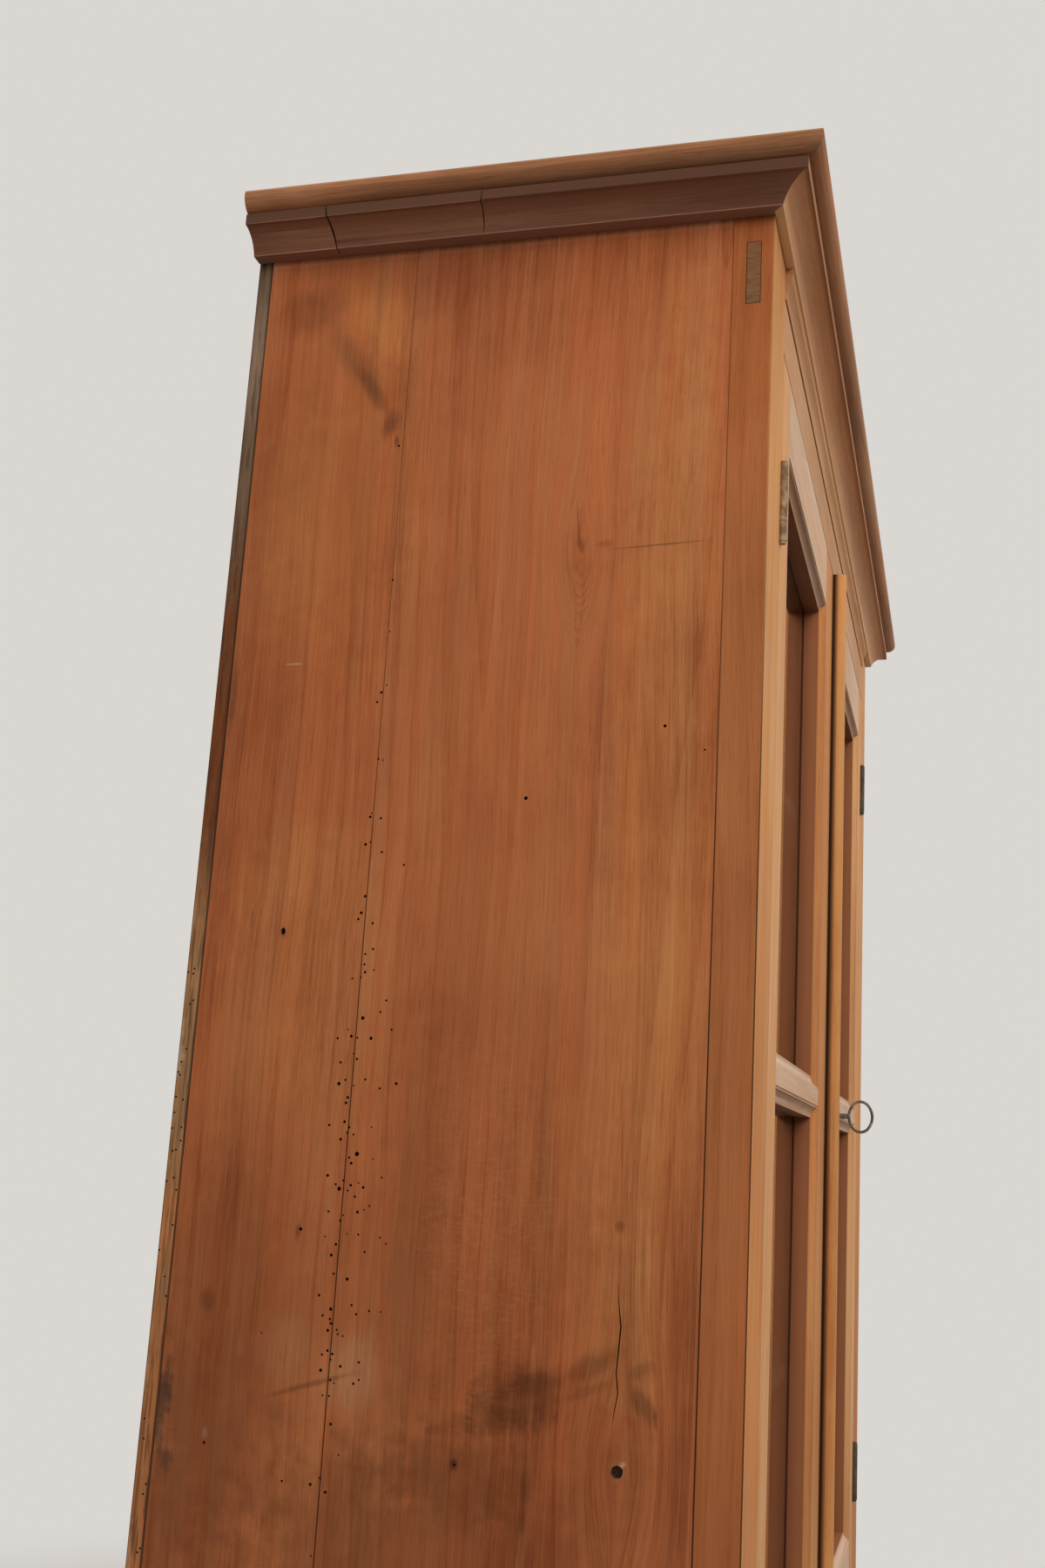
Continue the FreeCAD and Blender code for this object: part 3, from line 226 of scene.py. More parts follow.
class Wood:
    """A waxed wood finish: its node tree, with the colour, roughness and height that later steps build on."""

    # How far the grain wanders, the step from board to board, and how long the patterns run with the grain.
    WANDER = (0.022, 0.022, 0.022)
    BOARD_STEP = (7.1, 3.7, 5.3)
    RING_LENGTH = 0.045
    FIBRE_LENGTH = 0.014
    FLECK_LENGTH = 0.16
    # Scale, detail and roughness of the patterns, from the slow sway of the grain to single hairs and pores.
    SWAY = (2.3, 2.0, 0.5)
    PATCH = (3.1, 2.0, 0.45)
    RING = (9.0, 1.5, 0.4)
    MOTTLE = (17.0, 4.0, 0.6)
    WARMTH = (42.0, 3.0, 0.6)
    STRIPE = (60.0, 3.0, 0.6)
    FIBRE = (330.0, 3.0, 0.65)
    FLECK = (620.0, 3.0, 0.65)
    PORE = (900.0, 1.0, 0.4)
    HAIR = (1200.0, 2.0, 0.6)
    RAGGED_WITH_GRAIN = (70.0, 4.0, 0.7)
    RAGGED_ALL_ROUND = (60.0, 3.0, 0.6)
    # How many rings a full swing of the ring pattern has, how narrow their dark lines are, and how dark.
    RING_COUNT = 17.0
    RING_NARROW = 3.0
    RING_DARK = -0.14
    # Where the deep and the pale tone stand among the tones, and the level that a plain board has.
    DEEP_AT = 0.12
    PALE_AT = 0.88
    PLAIN_TONE = 0.54
    WARM = (1.03, 0.96, 0.91, 1.0)
    COOL = (0.98, 1.03, 1.05, 1.0)
    GLOSS = 0.06
    RELIEF = 0.0006

    def __init__(self, name, grain, deep, middle, pale, contrast=1.0, knots=()):
        self.material = bpy.data.materials.new(name)
        self.material.use_nodes = True
        tree = self.tree = self.material.node_tree
        self.grain = "XYZ".index(grain)
        self.place = place_on(tree)
        piece = tree.nodes.new("ShaderNodeAttribute")
        piece.attribute_type = "OBJECT"
        piece.attribute_name = "board"
        flow = self.place
        for centre, reach in knots:
            flow = self.parted(flow, centre, reach)
        drift = along(tree, "SUBTRACT", cloud(tree, flow, *self.SWAY, "Color"), (0.5, 0.5, 0.5))
        flow = along(tree, "ADD", flow, along(tree, "MULTIPLY", drift, self.WANDER))
        flow = along(tree, "ADD", flow, along(tree, "MULTIPLY", piece.outputs["Vector"], self.BOARD_STEP))
        board = self.board = self.drawn_out(flow, self.RING_LENGTH)
        strands = self.drawn_out(flow, self.FIBRE_LENGTH)
        growth = calc(tree, "FRACT", self.both(cloud(tree, board, *self.RING), self.RING_COUNT))
        stripe = cloud(tree, board, *self.STRIPE)
        fibre = cloud(tree, strands, *self.FIBRE)
        hair = cloud(tree, strands, *self.HAIR)
        fleck = cloud(tree, self.drawn_out(flow, self.FLECK_LENGTH), *self.FLECK)
        patch = cloud(tree, flow, *self.PATCH)
        mottle = cloud(tree, flow, *self.MOTTLE)
        tone = self.both(calc(tree, "POWER", growth, self.RING_NARROW), self.RING_DARK * contrast)
        for layer, share in (
                (stripe, 0.48), (fibre, 0.42), (hair, 0.56), (fleck, 0.20), (patch, 1.15), (mottle, 0.30)):
            tone = calc(tree, "MULTIPLY_ADD", calc(tree, "SUBTRACT", layer, 0.5), share * contrast, tone)
        ramp = tree.nodes.new("ShaderNodeValToRGB")
        tones = ramp.color_ramp.elements
        tones[0].position = self.DEEP_AT
        tones[0].color = tint(deep)
        tones[1].position = self.PALE_AT
        tones[1].color = tint(pale)
        tones.new(0.5).color = tint(middle)
        tree.links.new(calc(tree, "ADD", tone, self.PLAIN_TONE), ramp.inputs[0])
        warmth = span(tree, cloud(tree, board, *self.WARMTH), 0.33, 0.67)
        hue = mixed(tree, warmth, self.WARM, self.COOL)
        self.colour = mixed(tree, 1.0, ramp.outputs[0], hue, "MULTIPLY")
        pore = span(tree, cloud(tree, board, *self.PORE), 0.63, 0.72)
        self.toned(pore, deep, 0.15)
        self.rough = span(tree, mottle, 0.3, 0.7, 0.50, 0.70)
        hills = calc(tree, "ADD", self.both(fibre, 0.6), self.both(patch, 1.5))
        self.height = calc(tree, "SUBTRACT", hills, self.both(pore, 0.25))

    def drawn_out(self, flow, length):
        # A pattern on this runs long with the grain.
        stretch = [1.0, 1.0, 1.0]
        stretch[self.grain] = length
        return along(self.tree, "MULTIPLY", flow, stretch)

    def parted(self, flow, centre, reach):
        # The grain parts around a knot: near it, the pattern is drawn apart across the grain.
        tree = self.tree
        offset = along(tree, "SUBTRACT", flow, centre)
        distance = along(tree, "LENGTH", along(tree, "DIVIDE", offset, reach))
        scaled = tree.nodes.new("ShaderNodeVectorMath")
        scaled.operation = "SCALE"
        tree.links.new(along(tree, "MULTIPLY", offset, (0.0, 1.0, 0.0)), scaled.inputs[0])
        tree.links.new(span(tree, distance, 0.0, 1.0, -0.92, 0.0), scaled.inputs["Scale"])
        return along(tree, "ADD", flow, scaled.outputs[0])

    def blot(self, centre, reach, ragged, turn=0.0):
        # The share of a soft-edged patch, 1 in its middle, on a plane across X.
        tree = self.tree
        mapping = tree.nodes.new("ShaderNodeMapping")
        mapping.vector_type = "TEXTURE"
        mapping.inputs["Location"].default_value = centre
        mapping.inputs["Rotation"].default_value = (turn, 0.0, 0.0)
        mapping.inputs["Scale"].default_value = reach
        tree.links.new(self.place, mapping.inputs["Vector"])
        distance = along(tree, "LENGTH", mapping.outputs[0])
        with_grain = calc(tree, "SUBTRACT", cloud(tree, self.board, *self.RAGGED_WITH_GRAIN), 0.5)
        all_round = calc(tree, "SUBTRACT", cloud(tree, self.place, *self.RAGGED_ALL_ROUND), 0.5)
        rag = calc(tree, "ADD", with_grain, all_round)
        distance = calc(tree, "MULTIPLY_ADD", rag, ragged, distance)
        return span(tree, distance, 0.25, 1.0, 1.0, 0.0)

    def streaks(self, stretch, scale, detail, roughness=0.6):
        # A cloud pattern that is drawn out or packed close by its own stretch.
        return cloud(self.tree, along(self.tree, "MULTIPLY", self.place, stretch), scale, detail, roughness)

    def apart(self, axis):
        # The distance from the frame's origin along one axis.
        split = self.tree.nodes.new("ShaderNodeSeparateXYZ")
        self.tree.links.new(self.place, split.inputs[0])
        return split.outputs["XYZ".index(axis)]

    def beyond(self, axis, start, full):
        # 0 up to the start and 1 from the full place on, along one axis.
        return span(self.tree, self.apart(axis), start, full)

    def less_above(self, start, full, least):
        # 1 low down, falling to the least share high up.
        return span(self.tree, self.beyond("Z", start, full), 0.0, 1.0, 1.0, least)

    def both(self, one, other):
        return calc(self.tree, "MULTIPLY", one, other)

    # Lays a colour over the wood: real stains, and in places painted light and shade.
    def stain(self, share, colour, strength, mode="MIX"):
        self.colour = mixed(self.tree, self.both(share, strength), self.colour, tint(colour), mode)

    def toned(self, share, change, strength=1.0):
        # Multiplies the wood's own colours, so that the grain stays.
        self.stain(share, change, strength, "MULTIPLY")

    # Colours the narrow faces on the eased edges: wear and dark joints, and on the post fronts and cornice
    # also a painted highlight.
    def tinted_edges(self, colour, strength, where=1.0):
        edge = self.tree.nodes.new("ShaderNodeAttribute")
        edge.attribute_name = "worn"
        self.stain(self.both(edge.outputs["Fac"], where), colour, strength)

    def done(self, bump=0.35):
        shader = self.tree.nodes["Principled BSDF"]
        shader.inputs["Specular IOR Level"].default_value = self.GLOSS
        self.tree.links.new(self.colour, shader.inputs["Base Color"])
        self.tree.links.new(self.rough, shader.inputs["Roughness"])
        relief = self.tree.nodes.new("ShaderNodeBump")
        relief.inputs["Strength"].default_value = bump
        relief.inputs["Distance"].default_value = self.RELIEF
        self.tree.links.new(self.height, relief.inputs["Height"])
        self.tree.links.new(relief.outputs[0], shader.inputs["Normal"])
        return self.material


def picked(piece):
    # The only selected piece, and the active one.
    bpy.ops.object.select_all(action="DESELECT")
    bpy.context.view_layer.objects.active = piece
    piece.select_set(True)


def face_width(mesh, face):
    corners = [mesh.vertices[index].co for index in face.vertices]
    longest = max((one - other).length for one, other in zip(corners, corners[1:] + corners[:1]))
    return face.area / longest


def smoothed(piece):
    # Soft shading over the eased edges alone: the broad faces stay flat.
    bpy.ops.object.shade_smooth_by_angle(angle=math.radians(SMOOTH_TO_DEGREES))
    weighing = piece.modifiers.new("weighing", "WEIGHTED_NORMAL")
    weighing.keep_sharp = True
    weighing.weight = 100
    bpy.ops.object.modifier_apply(modifier=weighing.name)


def dressed(piece, finish, board=0.0):
    # A piece takes its finish, and its own part of the grain.
    piece["board"] = board
    piece.data.materials.clear()
    piece.data.materials.append(finish)


def eased(node, ease, body, finish, board, shortest=LONG_EDGE):
    # A like piece in the node's place, whose long sharp edges are eased by wear.
    piece = bpy.data.objects.new(node + "_worn", frame["nodes"][node].data.copy())
    bpy.context.scene.collection.objects.link(piece)
    picked(piece)
    bpy.ops.object.mode_set(mode="EDIT")
    bpy.ops.mesh.select_all(action="SELECT")
    bpy.ops.mesh.remove_doubles(threshold=MERGE_WITHIN)
    bpy.ops.mesh.dissolve_limited(angle_limit=math.radians(FLAT_TO_DEGREES))
    bpy.ops.mesh.select_mode(type="EDGE")
    bpy.ops.mesh.select_all(action="DESELECT")
    shape = bmesh.from_edit_mesh(piece.data)
    for edge in shape.edges:
        outer = edge.is_manifold and edge.is_convex
        sharp = outer and edge.calc_face_angle() > math.radians(SHARP_FROM_DEGREES)
        edge.select_set(sharp and edge.calc_length() > shortest)
    bmesh.update_edit_mesh(piece.data)
    bpy.ops.mesh.bevel(offset=ease, segments=2, affect="EDGES", clamp_overlap=True)
    bpy.ops.object.mode_set(mode="OBJECT")
    worn = piece.data.attributes.new("worn", "FLOAT", "FACE")
    narrow = [float(face_width(piece.data, face) < ease * NARROW_FACE) for face in piece.data.polygons]
    worn.data.foreach_set("value", narrow)
    smoothed(piece)
    dressed(piece, finish, board)
    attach(piece, body)
    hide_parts(node)
    return piece


post_wood = Wood("post_wood", "Z", (0.28, 0.084, 0.028), (0.39, 0.132, 0.047), (0.47, 0.175, 0.066))
lit_front_face = post_wood.beyond("Y", -0.1985, -0.2003)
by_planks = post_wood.beyond("Y", -0.1684, -0.1680)
arris = post_wood.both(post_wood.beyond("Y", -0.1991, -0.1996), post_wood.beyond("X", -0.6021, -0.6026))
# Painted light: the front face is lighter and less red than the sides, as light falls on the front, and paler
# and bluer still higher up.
post_wood.toned(lit_front_face, (1.40, 1.70, 1.48))
post_wood.toned(post_wood.both(lit_front_face, post_wood.beyond("Z", 0.70, 1.20)), (1.05, 1.22, 1.46))
post_wood.toned(post_wood.beyond("Z", 0.68, 0.50), (0.86, 0.80, 0.78))
# Pale front edges: wear, and a painted highlight along them.
post_wood.tinted_edges((0.60, 0.32, 0.15), 0.5, lit_front_face)
post_wood.tinted_edges(POST_JOINT_DARK, 0.92, post_wood.beyond("Y", -0.1760, -0.1690))
post_wood.stain(post_wood.both(by_planks, post_wood.less_above(0.80, 1.40, 0.3)), POST_JOINT_DARK, 0.85)
post_wood.stain(post_wood.both(arris, post_wood.less_above(0.90, 1.30, 0.25)), (0.040, 0.017, 0.010), 0.85)
post_finish = post_wood.done()
for side, board in (("left", 0.11), ("right", 0.83)):
    eased(side + "_front_post", POST_EASE, "case", post_finish, board)


# Case rails: the frieze rail over the doors and the bottom rail under them, in the same fruitwood.
# Their tenons run right through the posts, so the tenons' end grain shows on the cupboard's sides.
RAIL_EASE = 0.0005
TENON_EDGES = (
    ("Y", -0.1896, -0.1903), ("Y", -0.1794, -0.1787), ("Z", 1.4069, 1.4062), ("Z", 1.4601, 1.4608))
# Its tones are paler and greyer than the posts': painted sheen where the light grazes the crosswise grain.
rail_wood = Wood("rail_wood", "X", (0.37, 0.178, 0.084), (0.50, 0.272, 0.140), (0.58, 0.345, 0.195))
end_grain = rail_wood.beyond("X", -0.6015, -0.6025)
rail_wood.stain(end_grain, (0.13, 0.055, 0.026), 0.75)
for tenon_edge in TENON_EDGES:
    rail_wood.stain(rail_wood.both(rail_wood.beyond(*tenon_edge), end_grain), (0.030, 0.015, 0.009), 0.85)
saw_mark = span(rail_wood.tree, rail_wood.streaks((1.0, 60.0, 620.0), 1.0, 3.0), 0.52, 0.62)
rail_wood.stain(rail_wood.both(saw_mark, end_grain), (0.085, 0.038, 0.020), 0.5)
rail_finish = rail_wood.done()
for node, board in (("frieze_rail", 0.27), ("bottom_rail", 0.61)):
    eased(node, RAIL_EASE, "case", rail_finish, board)


# Side planks: a wide and a narrow fruitwood plank on each side, tongued together and into the post.
# Woodworm has left small round flight holes along the left side's joint, in millimetres from the middle,
# from the floor and across. A loose knot and a dry crack show in the wide plank.
PLANK_EASE = 0.0005
PLANK_FACE = -0.603
KNOT = Vector((PLANK_FACE, -0.1137, 0.527))
KNOT_RADIUS = 0.0042
KNOT_DEPTH = 0.006
KNOT_ROUGH = 0.0007
CROTCH = Vector((PLANK_FACE, -0.0555, 1.2068))
MILLIMETRES = 1000
FLIGHT_HOLES = (
    (106, 1302, 2.2), (102, 1184, 2.1), (101, 1140, 1.5), (100, 1095, 1.5), (104, 1089, 2.5),
    (107, 1081, 2.1), (-127, 1058, 2.8), (-158, 1039, 1.8), (102, 1034, 2.1), (98, 1033, 1.5),
    (-21, 1002, 3.3), (104, 990, 1.5), (105, 987, 2.5), (96, 986, 2.2), (103, 967, 1.7), (107, 965, 2.6),
    (93, 959, 2.2), (74, 949, 2.0), (104, 924, 2.6), (106, 911, 2.7), (108, 906, 2.2), (96, 903, 2.2),
    (94, 883, 2.2), (100, 879, 2.0), (100, 871, 2.1), (92, 867, 1.7), (99, 865, 2.4), (102, 861, 1.7),
    (109, 860, 1.8), (80, 844, 2.0), (84, 835, 2.0), (98, 830, 3.3), (74, 822, 2.1), (109, 821, 1.5),
    (106, 816, 2.7), (101, 815, 1.8), (90, 815, 2.9), (117, 814, 2.2), (103, 803, 1.5), (100, 799, 2.2),
    (113, 796, 2.2), (92, 784, 2.0), (108, 783, 2.0), (67, 782, 2.6), (113, 780, 3.1), (101, 779, 1.5),
    (80, 778, 2.0), (105, 770, 2.6), (106, 766, 2.5), (106, 752, 2.6), (84, 749, 1.5), (118, 749, 2.2),
    (102, 748, 2.4), (103, 744, 2.0), (98, 743, 1.8), (108, 739, 2.6), (94, 729, 3.8), (81, 726, 1.5),
    (100, 726, 2.1), (98, 722, 2.5), (73, 713, 1.8), (116, 712, 2.5), (103, 709, 2.2), (91, 708, 1.5),
    (109, 706, 2.0), (97, 706, 2.4), (87, 705, 2.4), (106, 703, 3.4), (99, 702, 1.8), (93, 698, 2.1),
    (81, 692, 1.7), (85, 689, 1.5), (90, 687, 2.4), (113, 686, 2.1), (101, 684, 1.5), (103, 680, 2.1),
    (134, 672, 3.0), (88, 671, 1.8), (97, 671, 1.5), (71, 670, 1.7), (114, 668, 1.5), (66, 666, 1.7),
    (105, 663, 2.2), (82, 659, 2.0), (108, 655, 2.7), (105, 642, 2.0), (94, 639, 2.8), (115, 626, 2.2),
    (89, 621, 2.0), (66, 618, 1.5), (75, 618, 2.0), (105, 617, 2.8), (85, 615, 2.1), (111, 612, 2.1),
    (105, 610, 2.2), (104, 607, 2.4), (99, 603, 1.7), (106, 602, 2.5), (98, 600, 1.7), (94, 599, 1.7),
    (158, 596, 1.5), (105, 588, 2.4), (101, 586, 2.2), (109, 585, 2.0), (102, 582, 1.8), (80, 582, 2.2),
    (94, 578, 2.5), (109, 574, 2.8), (79, 570, 1.8), (101, 568, 2.0), (83, 567, 2.2), (98, 566, 1.5),
    (101, 557, 1.8), (106, 557, 1.7), (98, 538, 2.5), (3, 520, 2.4), (90, 518, 1.5), (196, 516, 2.5),
    (103, 501, 1.8), (110, 496, 2.7), (132, 496, 2.0), (98, 492, 2.6), (105, 449, 1.5),
)
HOLE_DEPTH = 0.007
HOLE_SHARE = 0.00046
OVAL_HOLE = (0.170, 0.895)
OVAL_RADIUS = 0.0019
CRACK_POINTS = (
    (-0.1090, 0.652), (-0.1100, 0.640), (-0.1124, 0.622), (-0.1114, 0.606),
    (-0.1104, 0.591), (-0.1122, 0.578), (-0.1102, 0.566), (-0.1086, 0.555))
CRACK_WIDTHS = (0.0001, 0.0005, 0.0011, 0.0010, 0.0009, 0.0008, 0.0006, 0.0001)
CRACK_START = PLANK_FACE - 0.005
CRACK_DEPTH = 0.013
PLANK_TONE = (0.395, 0.123, 0.046)
DARK_WAX = (0.160, 0.048, 0.0190)
RED_WAX = (0.170, 0.042, 0.018)
PALE_WOOD = (0.47, 0.178, 0.064)
SMOKE = (0.120, 0.041, 0.0175)
GRIT = (0.070, 0.046, 0.034)
# Marks of age on the left side: the middle's place along Y and Z, the reach along both, how ragged the edge
# is, the colour that plain wood comes to, the strength, and the turn of those that lie aslant.
PLANK_MARKS = (
    (0.19, 0.58, 0.10, 0.24, 0.5, DARK_WAX, 0.45), (0.085, 0.480, 0.050, 0.080, 0.5, DARK_WAX, 0.28),
    (0.02, 0.42, 0.22, 0.17, 0.6, DARK_WAX, 0.52), (0.003, 0.510, 0.085, 0.045, 0.7, DARK_WAX, 0.45),
    (0.045, 0.70, 0.035, 0.22, 0.7, DARK_WAX, 0.30), (0.015, 0.870, 0.080, 0.190, 0.5, DARK_WAX, 0.16),
    (0.045, 0.620, 0.090, 0.150, 0.5, DARK_WAX, 0.20), (0.045, 1.12, 0.035, 0.16, 0.8, DARK_WAX, 0.16),
    (0.195, 1.432, 0.045, 0.030, 0.7, DARK_WAX, 0.45),
    (0.135, 1.357, 0.040, 0.009, 0.8, DARK_WAX, 0.45, 0.95),
    (0.118, 0.563, 0.047, 0.0030, 0.5, DARK_WAX, 0.55, -0.310),
    (-0.155, 0.62, 0.016, 0.25, 0.7, DARK_WAX, 0.10), (0.225, 0.450, 0.035, 0.080, 0.5, RED_WAX, 0.30),
    (0.110, 1.472, 0.150, 0.060, 0.4, RED_WAX, 0.42), (0.205, 0.490, 0.085, 0.150, 0.5, RED_WAX, 0.45),
    (0.070, 1.440, 0.045, 0.060, 0.5, RED_WAX, 0.28), (0.150, 0.850, 0.090, 0.160, 0.5, PALE_WOOD, 0.62),
    (-0.056, 0.700, 0.042, 0.095, 0.6, PALE_WOOD, 0.45), (-0.112, 0.630, 0.052, 0.090, 0.6, PALE_WOOD, 0.40),
    (0.185, 1.22, 0.055, 0.20, 0.6, PALE_WOOD, 0.22), (0.205, 1.250, 0.045, 0.130, 0.6, PALE_WOOD, 0.28),
    (-0.13, 0.98, 0.065, 0.60, 0.5, PALE_WOOD, 0.85), (0.17, 0.945, 0.07, 0.06, 0.6, PALE_WOOD, 0.35),
    (0.1085, 1.306, 0.003, 0.008, 0.8, SMOKE, 0.60), (-0.042, 0.569, 0.048, 0.033, 0.8, SMOKE, 0.56, -0.25),
    (-0.050, 0.580, 0.034, 0.010, 0.9, SMOKE, 0.40, -0.45),
    (-0.020, 0.552, 0.050, 0.014, 0.9, SMOKE, 0.32, -0.2),
    (-0.088, 0.592, 0.036, 0.010, 0.8, SMOKE, 0.46, -0.50),
    (-0.090, 0.577, 0.026, 0.005, 0.7, SMOKE, 0.25, -0.40),
    (-0.128, 0.594, 0.016, 0.007, 0.8, SMOKE, 0.35, -0.5), (0.234, 1.09, 0.006, 0.040, 0.8, SMOKE, 0.5),
    (0.205, 0.617, 0.008, 0.014, 1.0, SMOKE, 0.45), (0.2345, 0.540, 0.011, 0.050, 1.8, GRIT, 0.75),
    (0.2260, 0.505, 0.010, 0.022, 1.8, GRIT, 0.55),
    (0.135, 1.235, 0.080, 0.200, 0.5, (0.50, 0.175, 0.060), 0.45),
    (0.150, 1.379, 0.060, 0.016, 0.6, (0.185, 0.075, 0.034), 0.50, 0.95),
    (0.1150, 1.322, 0.010, 0.018, 1.0, (0.150, 0.050, 0.028), 0.70, 0.3),
    (0.086, 0.575, 0.030, 0.040, 0.9, (0.47, 0.225, 0.105), 0.45),
    (0.139, 0.588, 0.030, 0.035, 0.9, (0.45, 0.200, 0.088), 0.42),
    (-0.1310, 0.5710, 0.0085, 0.021, 1.4, (0.135, 0.046, 0.021), 0.55, -0.58),
    (-0.1390, 0.5640, 0.0026, 0.011, 1.2, (0.090, 0.036, 0.018), 0.50, -0.10),
    (-0.117, 1.2045, 0.055, 0.0011, 0.3, (0.13, 0.045, 0.02), 0.65, -0.053),
    (-0.0555, 1.2068, 0.006, 0.009, 1.7, (0.16, 0.052, 0.022), 0.45),
    (-0.0720, 1.2075, 0.012, 0.005, 1.2, (0.22, 0.066, 0.030), 0.55, -0.05),
    (-0.0510, 1.2250, 0.0012, 0.030, 0.8, (0.16, 0.055, 0.026), 0.55, -0.10),
    (0.1818, 1.1145, 0.010, 0.0014, 0.6, (0.55, 0.33, 0.20), 0.6),
    (0.2330, 0.520, 0.003, 0.022, 2.4, (0.30, 0.20, 0.12), 0.40),
    (0.1695, 0.894, 0.004, 0.007, 0.7, (0.10, 0.038, 0.017), 0.5),
    (0.1360, 0.670, 0.004, 0.010, 0.7, (0.10, 0.038, 0.017), 0.6),
    (-0.1091, 0.690, 0.005, 0.006, 1.0, (0.190, 0.046, 0.017), 0.6),
    (-0.1080, 0.742, 0.0010, 0.050, 0.3, (0.200, 0.056, 0.022), 0.5, -0.037),
    (0.003, 0.5205, 0.004, 0.005, 0.7, (0.09, 0.035, 0.016), 0.7),
    (0.1962, 0.5230, 0.003, 0.006, 0.8, (0.46, 0.24, 0.12), 0.8),
    (KNOT.y, KNOT.z, 0.011, 0.011, 1.6, (0.47, 0.24, 0.12), 0.55),
    (KNOT.y, KNOT.z, 0.0062, 0.0062, 0.9, (0.09, 0.055, 0.036), 0.85),
    (KNOT.y - 0.0042, KNOT.z + 0.0052, 0.0040, 0.0028, 0.8, (0.60, 0.33, 0.22), 0.60, -0.6),
)

# Painted shade: the walls of the flight holes, the knot's socket and the cracks are dark, as shade falls
# inside them.
hole_painted_shade = bpy.data.materials.new("hole_painted_shade")
hole_painted_shade.use_nodes = True
hole_tree = hole_painted_shade.node_tree
hole_shader = hole_tree.nodes["Principled BSDF"]
hole_shader.inputs["Roughness"].default_value = 0.95
hole_mottle = cloud(hole_tree, place_on(hole_tree), 700.0, 3.0, 0.6)
hole_colour = mixed(hole_tree, hole_mottle, tint((0.020, 0.010, 0.006)), tint((0.075, 0.038, 0.020)))
hole_tree.links.new(hole_colour, hole_shader.inputs["Base Color"])


def cutter(name):
    # An empty mesh in edit mode, which takes the shapes that are cut out of a board.
    tool = bpy.data.objects.new(name, bpy.data.meshes.new(name))
    bpy.context.scene.collection.objects.link(tool)
    picked(tool)
    # The shapes' walls take the holes' painted shade.
    tool.data.materials.append(hole_painted_shade)
    bpy.ops.object.mode_set(mode="EDIT")
    return tool


def carved(pieces, tool):
    # Takes the tool's shapes out of the pieces, and removes the tool.
    if bpy.context.mode != "OBJECT":
        bpy.ops.object.mode_set(mode="OBJECT")
    for piece in pieces:
        picked(piece)
        hollow = piece.modifiers.new("hollow", "BOOLEAN")
        hollow.operation = "DIFFERENCE"
        hollow.solver = "EXACT"
        hollow.use_self = True
        hollow.material_mode = "TRANSFER"
        hollow.object = tool
        bpy.ops.object.modifier_apply(modifier=hollow.name)
        smoothed(piece)
    bpy.data.objects.remove(tool)


def flight_hole(y, z, radius, sides, lean):
    # A beetle's way out through the face of a plank, leaning by so many degrees.
    lean = math.radians(lean)
    bpy.ops.mesh.primitive_cylinder_add(
        vertices=sides, radius=radius, depth=2 * HOLE_DEPTH,
        location=(PLANK_FACE, y / MILLIMETRES, z / MILLIMETRES),
        rotation=(0.0, math.radians(90) + lean, lean / 2))


def split_between(points, widths, start, depth):
    # A closed wedge along a line of points on a plane across X, as wide as a crack there.
    bpy.ops.mesh.primitive_grid_add(x_subdivisions=1, y_subdivisions=len(points) - 1, size=1.0)
    shape = bmesh.from_edit_mesh(bpy.context.object.data)
    rows = len(points) - 1
    for vertex in [vertex for vertex in shape.verts if vertex.select]:
        index = round((vertex.co.y + 0.5) * rows)
        side = 0.5 if vertex.co.x > 0 else -0.5
        y, z = points[index]
        vertex.co = (start, y + side * widths[index], z)
    bmesh.update_edit_mesh(bpy.context.object.data)
    bpy.ops.mesh.extrude_region_move(TRANSFORM_OT_translate={"value": (depth, 0.0, 0.0)})
    bpy.ops.mesh.select_linked()
    bpy.ops.mesh.normals_make_consistent(inside=False)


plank_wood = Wood(
    "plank_wood", "Z", (0.250, 0.066, 0.024), PLANK_TONE, (0.485, 0.171, 0.067), 1.15,
    knots=((KNOT, (0.5, 0.05, 0.13)), (CROTCH, (0.5, 0.035, 0.10))))


def plank_blot(y, z, reach_y, reach_z, ragged, turn=0.0):
    return plank_wood.blot((PLANK_FACE, y, z), (0.5, reach_y, reach_z), ragged, turn)


plank_wood.toned(plank_wood.beyond("Z", 0.42, 0.20), (0.74, 0.66, 0.68))
# Painted light: the planks' top under the cove is lighter and bluer, against the shade that falls there.
plank_wood.toned(plank_wood.beyond("Z", 1.4740, 1.4790), (1.35, 1.60, 1.95))
rear_plank = plank_wood.beyond("Y", 0.1020, 0.1030)
calm = plank_wood.both(plank_blot(0.175, 1.260, 0.10, 0.24, 0.4), rear_plank)
plank_wood.stain(calm, (0.43, 0.138, 0.049), 0.45)
wedge = plank_wood.both(plank_blot(0.128, 1.420, 0.075, 0.040, 0.45, 0.95), rear_plank)
plank_wood.toned(wedge, (1.27, 1.48, 1.30), 0.62)
for y, z, reach_y, reach_z, ragged, colour, strength, *turn in PLANK_MARKS:
    change = [marked / plain for marked, plain in zip(colour, PLANK_TONE)]
    plank_wood.toned(plank_blot(y, z, reach_y, reach_z, ragged, *turn), change, strength)

